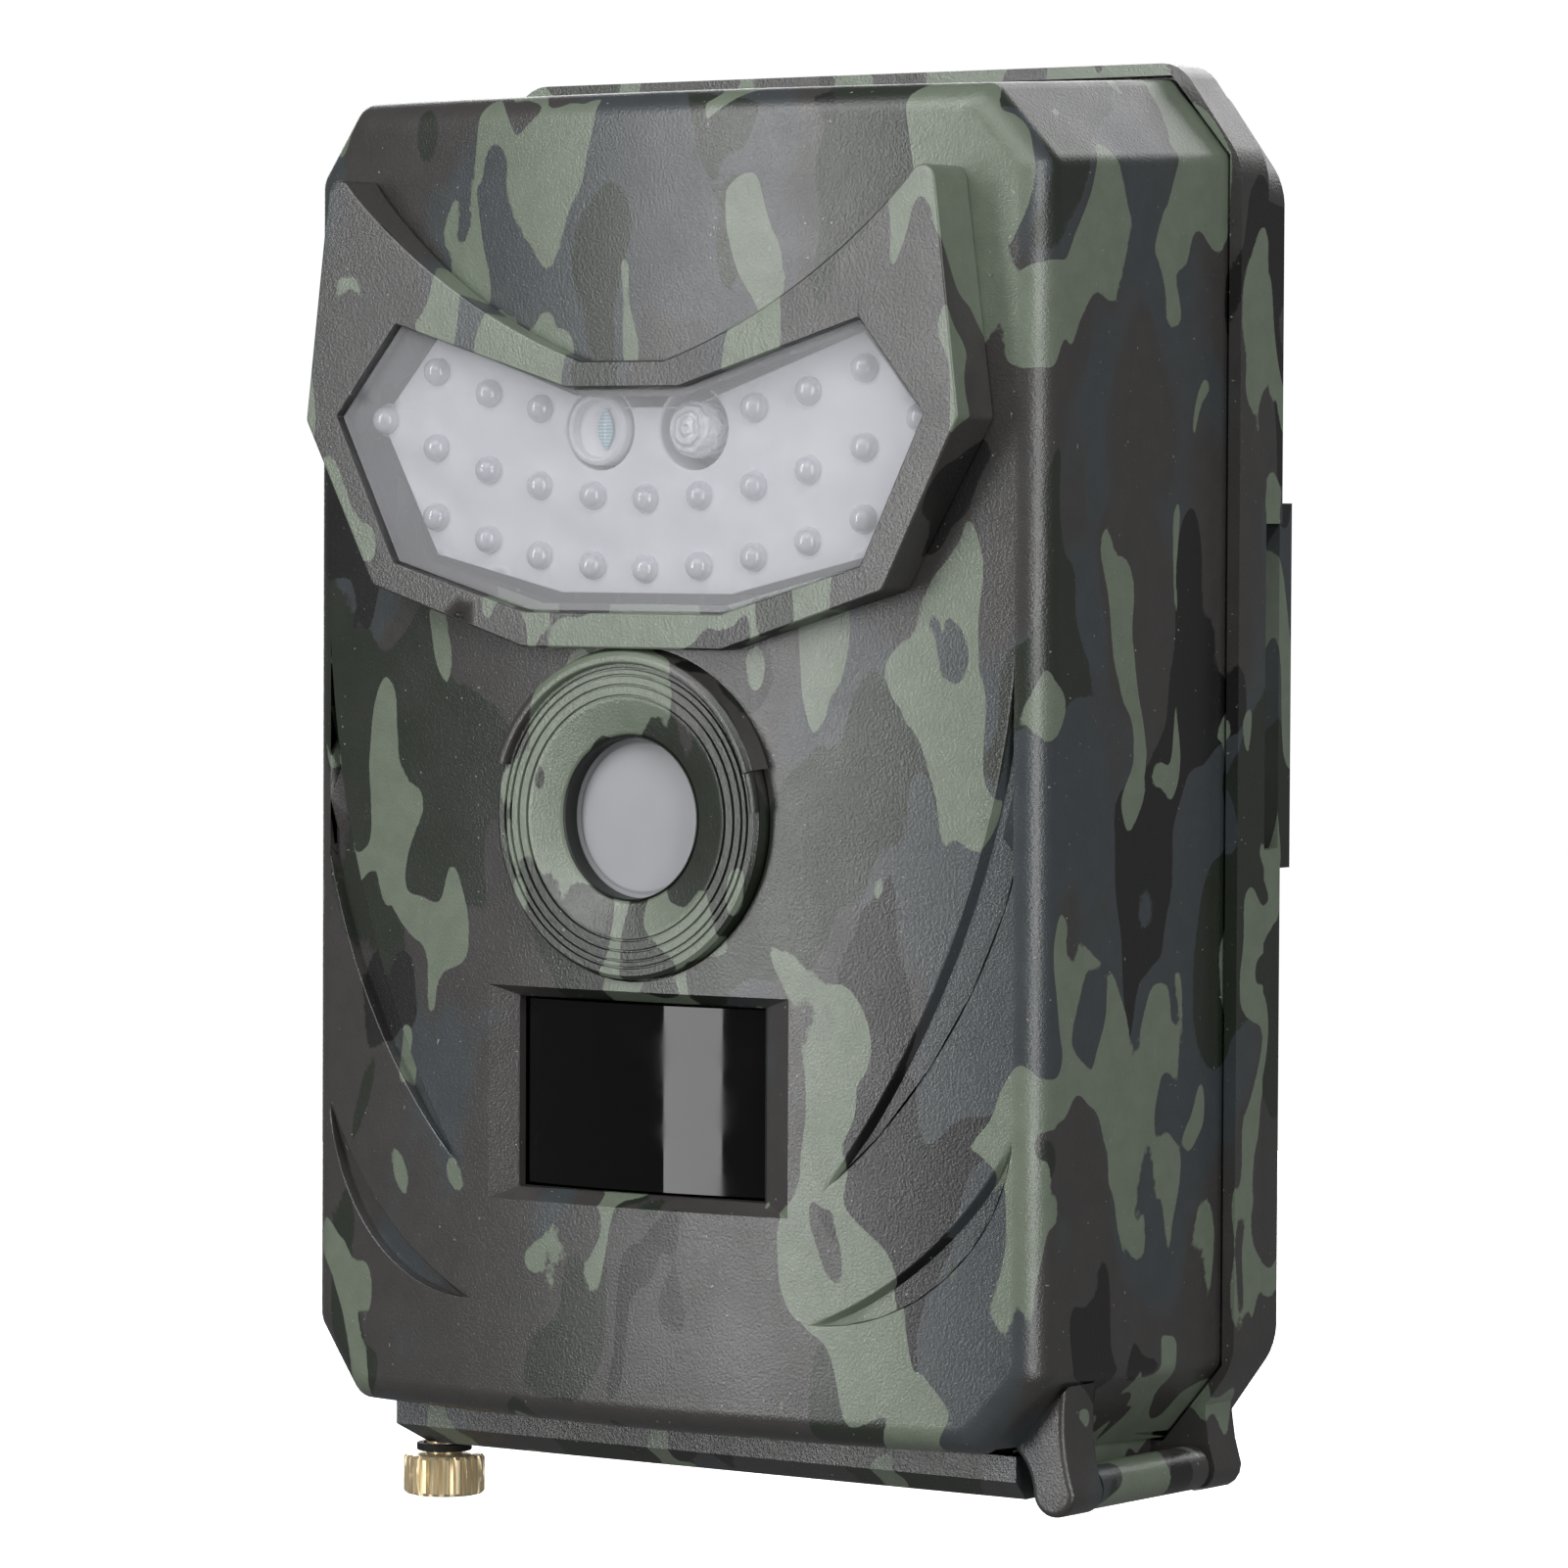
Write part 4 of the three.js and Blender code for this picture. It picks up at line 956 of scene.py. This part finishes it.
def build_leds():
    """The clear domes of the infrared LEDs on their pale holder."""
    domes = Sheet()
    tip = DOME_TIP_Y
    dome = [(0, tip)]
    for step in range(1, 8):
        angle = math.radians(90 * step / 7)
        dome.append((LED_RADIUS * math.sin(angle), tip + LED_RADIUS * (1 - math.cos(angle))))
    flange = LED_RADIUS + 0.3
    dome += [(LED_RADIUS, tip + 1.9), (flange, tip + 2.0), (flange, tip + 2.4), (0, tip + 2.4)]
    for z, low, high in LED_ROWS:
        for k in [*range(low, high + 1), *range(-high, -max(low, 1) + 1)]:
            turned(domes, dome, k * LED_PITCH, z + LED_ROW_BEND * k * k, 24)
    piece("flash_led_domes", domes.points, domes.faces, "flash_led_array", [], DOME_LOOK, 50)

    holder = Sheet()
    front = DOME_TIP_Y + 1.55
    outline = dense(anticlockwise(window_outline(2.6)), 2)
    holes = [circle(4.2, 32, side * FLASH_SIDE[0], FLASH_SIDE[1]) for side in (-1, 1)]

    def relief(x, z):
        """Low waves that follow the rows' bend."""
        along = z - LED_ROW_BEND * (x / LED_PITCH) ** 2 - 1.2 * math.sin(x / 2.6)
        return front - 0.12 * math.sin(2 * math.pi * along / 7.6)

    slab(holder, outline, holes, front, LED_BOARD_Y - 0.3, 0.15, spacing=0.9, relief=relief)
    piece("flash_led_array_visual", holder.points, holder.faces, "flash_led_array", sharp=50)


def build_status_light_guide():
    """The clear rounded guide on the right of the window's brow."""
    x, z = FLASH_SIDE
    front, back = -41.9, FLASH_ROUNDS_BACK_Y
    profile = [(0, front), (1.2, front + 0.05), (2.2, front + 0.4), (2.8, front + 1.0)]
    profile += [(3.0, front + 1.8), (3.0, back), (0, back)]
    guide = Sheet()
    turned(guide, profile, x, z, 64)
    piece("status_light_guide_visual", guide.points, guide.faces, "status_light_guide", None, GUIDE, 60)


def build_light_sensor():
    """The light sensor's cup on the left of the brow, with a leaf-shaped cell in it."""
    x, z = FLASH_SIDE
    front, back = -41.3, FLASH_ROUNDS_BACK_Y
    profile = [(0, front + 1.2), (2.9, front + 1.0), (3.0, front + 0.1), (3.3, front)]
    profile += [(3.7, front + 0.3), (3.75, back), (0, back)]
    cup = Sheet()
    turned(cup, smooth_profile(profile, 0.15), -x, z, 64)
    piece("light_sensor_visual", cup.points, cup.faces, "light_sensor", None, MATERIALS["led_epoxy"])
    cell = Sheet()
    rows = []
    for v in (k / 4 - 1 for k in range(9)):
        bulge = 1 - v * v
        across = [(0.95 * bulge * u, 0.3 * bulge * (1 - u * u)) for u in (-1, -0.5, 0, 0.5, 1)]
        height = z + 2.2 * v
        rows.append(cell.ring([(-x + 0.7 + beside, front + 0.75 - rise, height) for beside, rise in across]))
    for a, b in zip(rows, rows[1:]):
        cell.faces += [(a[i], a[i + 1], b[i + 1], b[i]) for i in range(4)]
    piece("light_sensor_cell", cell.points, cell.faces, "light_sensor", [], CELL_LOOK, 60)


def build_pir():
    """The motion sensor's window: one smooth bowed sheet."""
    half, top, bottom = PIR_INNER[0] - 0.3, PIR_INNER[1] - 0.3, PIR_INNER[2] + 0.3
    sheet = Sheet()
    bow = 74.0
    columns, rows = 40, 10
    for thick in (0.0, 1.0):
        for r in range(rows + 1):
            z = bottom + (top - bottom) * r / rows
            sheet.points += [
                (x, PIR_FLOOR_Y - 0.5 + thick + bow - math.sqrt(bow**2 - x * x), z)
                for x in np.linspace(-half, half, columns + 1).tolist()
            ]
    wide = columns + 1
    back = wide * (rows + 1)
    for r in range(rows):
        for c in range(columns):
            a = r * wide + c
            sheet.faces.append((a, a + 1, a + 1 + wide, a + wide))
            sheet.faces.append((back + a, back + a + wide, back + a + 1 + wide, back + a + 1))
    piece("pir_lens_visual", sheet.points, sheet.faces, "pir_lens", sharp=60)


def build_thumb_screw():
    """The plain shank with its knurled knob."""
    radius, top, bottom = KNOB
    shank = 1.9
    sheet = Sheet()
    teeth = 22

    def knurl(r, y, angle):
        if r < radius - 0.5 or y > top - 0.15 or y < bottom + 0.15:
            return r, y
        wave = math.cos(teeth * angle)
        return r - 0.42 * ease(0.5 - 1.1 * wave), y

    profile = [(0, SHANK_TOP), (shank - 0.2, SHANK_TOP), (shank, SHANK_TOP - 0.3), (shank, top)]
    profile += [(radius - 0.75, top), (radius - 0.3, top - 0.12), (radius, top - 0.4), (radius, top - 2.2)]
    profile += [(radius, bottom + 0.4), (radius - 0.3, bottom + 0.12), (radius - 0.8, bottom)]
    profile += [(2.2, bottom), (2.0, bottom + 0.25), (0, bottom + 0.25)]
    turned_z(sheet, profile, *SCREW, teeth * 12, knurl)
    piece("thumb_screw_visual", sheet.points, sheet.faces, "thumb_screw", sharp=45)


# ---- CAD shapes with their edges softened ----


def is_outline_corner(edge):
    """True for a long edge along Y at a corner of the case's outline."""
    a, b = (v.co / MM for v in edge.verts)
    along = abs(a.y - b.y) > 0.9 and abs(a.x - b.x) < 0.5 and abs(a.z - b.z) < 0.5
    far = 41 < abs(a.x) and (a.z > 51 or a.z > -79.6 and a.z < -67)
    return along and far and edge.is_convex and len(edge.link_faces) == 2 and edge.calc_face_angle(0) > 0.55


def softened(node, width, corner=0.0):
    """The CAD node's own shape as a new piece, its sharp edges and any outline corners rounded."""
    bm = bmesh.new()
    bm.from_mesh(frame["nodes"][node].data)
    bmesh.ops.remove_doubles(bm, verts=bm.verts, dist=1e-6)
    bmesh.ops.dissolve_limit(bm, angle_limit=math.radians(1.0), verts=bm.verts, edges=bm.edges)
    if corner:
        edges = [e for e in bm.edges if is_outline_corner(e)]
        bmesh.ops.bevel(bm, geom=edges, offset=corner * MM, segments=4, profile=0.5, affect="EDGES")
    mesh = bpy.data.meshes.new(node + "_visual")
    bm.to_mesh(mesh)
    bm.free()
    holder = bpy.data.objects.new("scratch", mesh)
    bpy.context.scene.collection.objects.link(holder)
    bevel = holder.modifiers.new("bevel", "BEVEL")
    bevel.width, bevel.segments = width * MM, 2
    bevel.limit_method, bevel.angle_limit = "ANGLE", math.radians(28)
    bpy.context.view_layer.update()
    made = bpy.data.meshes.new_from_object(holder.evaluated_get(bpy.context.evaluated_depsgraph_get()))
    bpy.data.objects.remove(holder)
    finish_piece(node + "_visual", made, node, sharp=30)


def build_front_ear():
    """The front shell's ear that holds the door's hinge pin."""
    x, z = HINGE
    reach = HINGE_BARREL + 0.2
    right = arc_points((46.2, -69.5), (45.9, -74.5), (x + reach, z), 1.2)
    round_end = arc_points((x + reach, z), (x, z - reach), (x - reach, z), 0.5)[1:-1]
    left = arc_points((x - reach, z), (41.5, -78.2), (EAR_LEFT_X, EAR_TOP_Z), 0.7)
    outline = right + round_end + left + [(EAR_LEFT_X, -75), (44, -71)]
    sheet = Sheet()
    back_ring = slab(sheet, outline, [], EAR_FRONT_Y, EAR_BACK_Y, 0.7, spacing=6.0)
    sheet.cap(back_ring, (), 6.0, lambda px, pz: EAR_BACK_Y)
    piece("front_ear_visual", sheet.points, sheet.faces, "front_shell", replaces=[], sharp=40)


build_front_shell()
build_front_ear()
build_mask()
build_window()
build_leds()
build_status_light_guide()
build_light_sensor()
build_lens_ring()
build_lens_cover()
build_pir()
build_thumb_screw()
softened("rear_shell", 0.45, corner=2.0)
softened("bottom_door", 0.35)
softened("screw_collar", 0.12)
for key in ("menu_button", "ok_button", "up_button", "down_button", "mode_switch"):
    softened(key, 0.12)
for plate in ("battery_cover", "control_panel"):
    softened(plate, 0.12)

for name, node in frame["nodes"].items():
    node.data.materials.clear()
    node.data.materials.append(MATERIALS[SLOT_OF[name]])

# ---- Light and ground ----


MIDDLE = (0, -0.02, -0.01)


def area_light(name, place, size, power):
    """A rectangular softbox, aimed at the middle of the object. Its sizes are in metres."""
    data = bpy.data.lights.new(name, "AREA")
    data.shape, data.size, data.size_y = "RECTANGLE", *size
    data.energy = power
    light = bpy.data.objects.new(name, data)
    bpy.context.scene.collection.objects.link(light)
    light.location = place
    light.rotation_mode = "QUATERNION"
    light.rotation_quaternion = (Vector(MIDDLE) - place).to_track_quat("-Z", "Y")


def make_floor():
    """A pale floor, clear from below and under the open door, and a white dome only the camera sees."""
    n = Nodes("backdrop")
    n.set(Base_Color=n.mix(n.noise(3.0), (0.90, 0.90, 0.90, 1), (0.94, 0.94, 0.94, 1)), Roughness=0.9)
    n.set(Emission_Color=(1, 1, 1, 1), Emission_Strength=0.86)
    clear, both = n.new("ShaderNodeBsdfTransparent"), n.new("ShaderNodeMixShader")
    n.put(both.inputs["Fac"], n.new("ShaderNodeNewGeometry").outputs["Backfacing"])
    n.tree.links.new(n.shader.outputs[0], both.inputs[1])
    n.tree.links.new(clear.outputs[0], both.inputs[2])
    n.tree.links.new(both.outputs[0], n.output.inputs["Surface"])
    radius, low = 4.6, -0.18
    mesh = bpy.data.meshes.new("floor")
    turns = [math.radians(degrees) for degrees in range(0, 360, 5)]
    corners = [(radius * math.cos(turn), radius * math.sin(turn), low) for turn in turns]
    mesh.from_pydata(corners, [], [tuple(range(len(corners)))])
    mesh.materials.append(n.material)
    floor = bpy.data.objects.new("floor", mesh)
    floor.visible_diffuse = floor.visible_glossy = False
    bright = Nodes("dome")
    bright.set(Base_Color=(0, 0, 0, 1), Emission_Color=(1, 1, 1, 1), Emission_Strength=1.0, Roughness=1.0)
    mesh = bpy.data.meshes.new("dome")
    bm = bmesh.new()
    bmesh.ops.create_uvsphere(bm, u_segments=48, v_segments=24, radius=5.0)
    bmesh.ops.reverse_faces(bm, faces=bm.faces)
    bm.to_mesh(mesh)
    bm.free()
    mesh.materials.append(bright.material)
    dome = bpy.data.objects.new("dome", mesh)
    dome.visible_diffuse = dome.visible_glossy = dome.visible_transmission = dome.visible_shadow = False
    for stage in (floor, dome):
        bpy.context.scene.collection.objects.link(stage)


def around(azimuth, elevation, distance):
    """A place seen from the middle at an azimuth from the front and an elevation, both in degrees."""
    a, e = math.radians(azimuth), math.radians(elevation)
    reach = Vector((math.sin(a) * math.cos(e), -math.cos(a) * math.cos(e), math.sin(e)))
    return Vector(MIDDLE) + reach * distance


make_floor()
area_light("strip", around(-25, 13, 1.2), (0.25, 1.25), 7.6)
area_light("key", around(12, 42, 1.3), (1.1, 0.8), 5)
area_light("edge", around(62, 6, 1.3), (0.42, 1.5), 9)
area_light("back", around(212, 8, 1.5), (1.1, 1.1), 14)
area_light("rim", around(178, 32, 1.5), (0.9, 0.6), 4.5)

world = bpy.data.worlds.new("studio")
world.use_nodes = True
world.node_tree.nodes["Background"].inputs["Color"].default_value = (1, 1, 1, 1)
world.node_tree.nodes["Background"].inputs["Strength"].default_value = 0.16
bpy.context.scene.world = world
bpy.context.scene.view_settings.view_transform = "Standard"
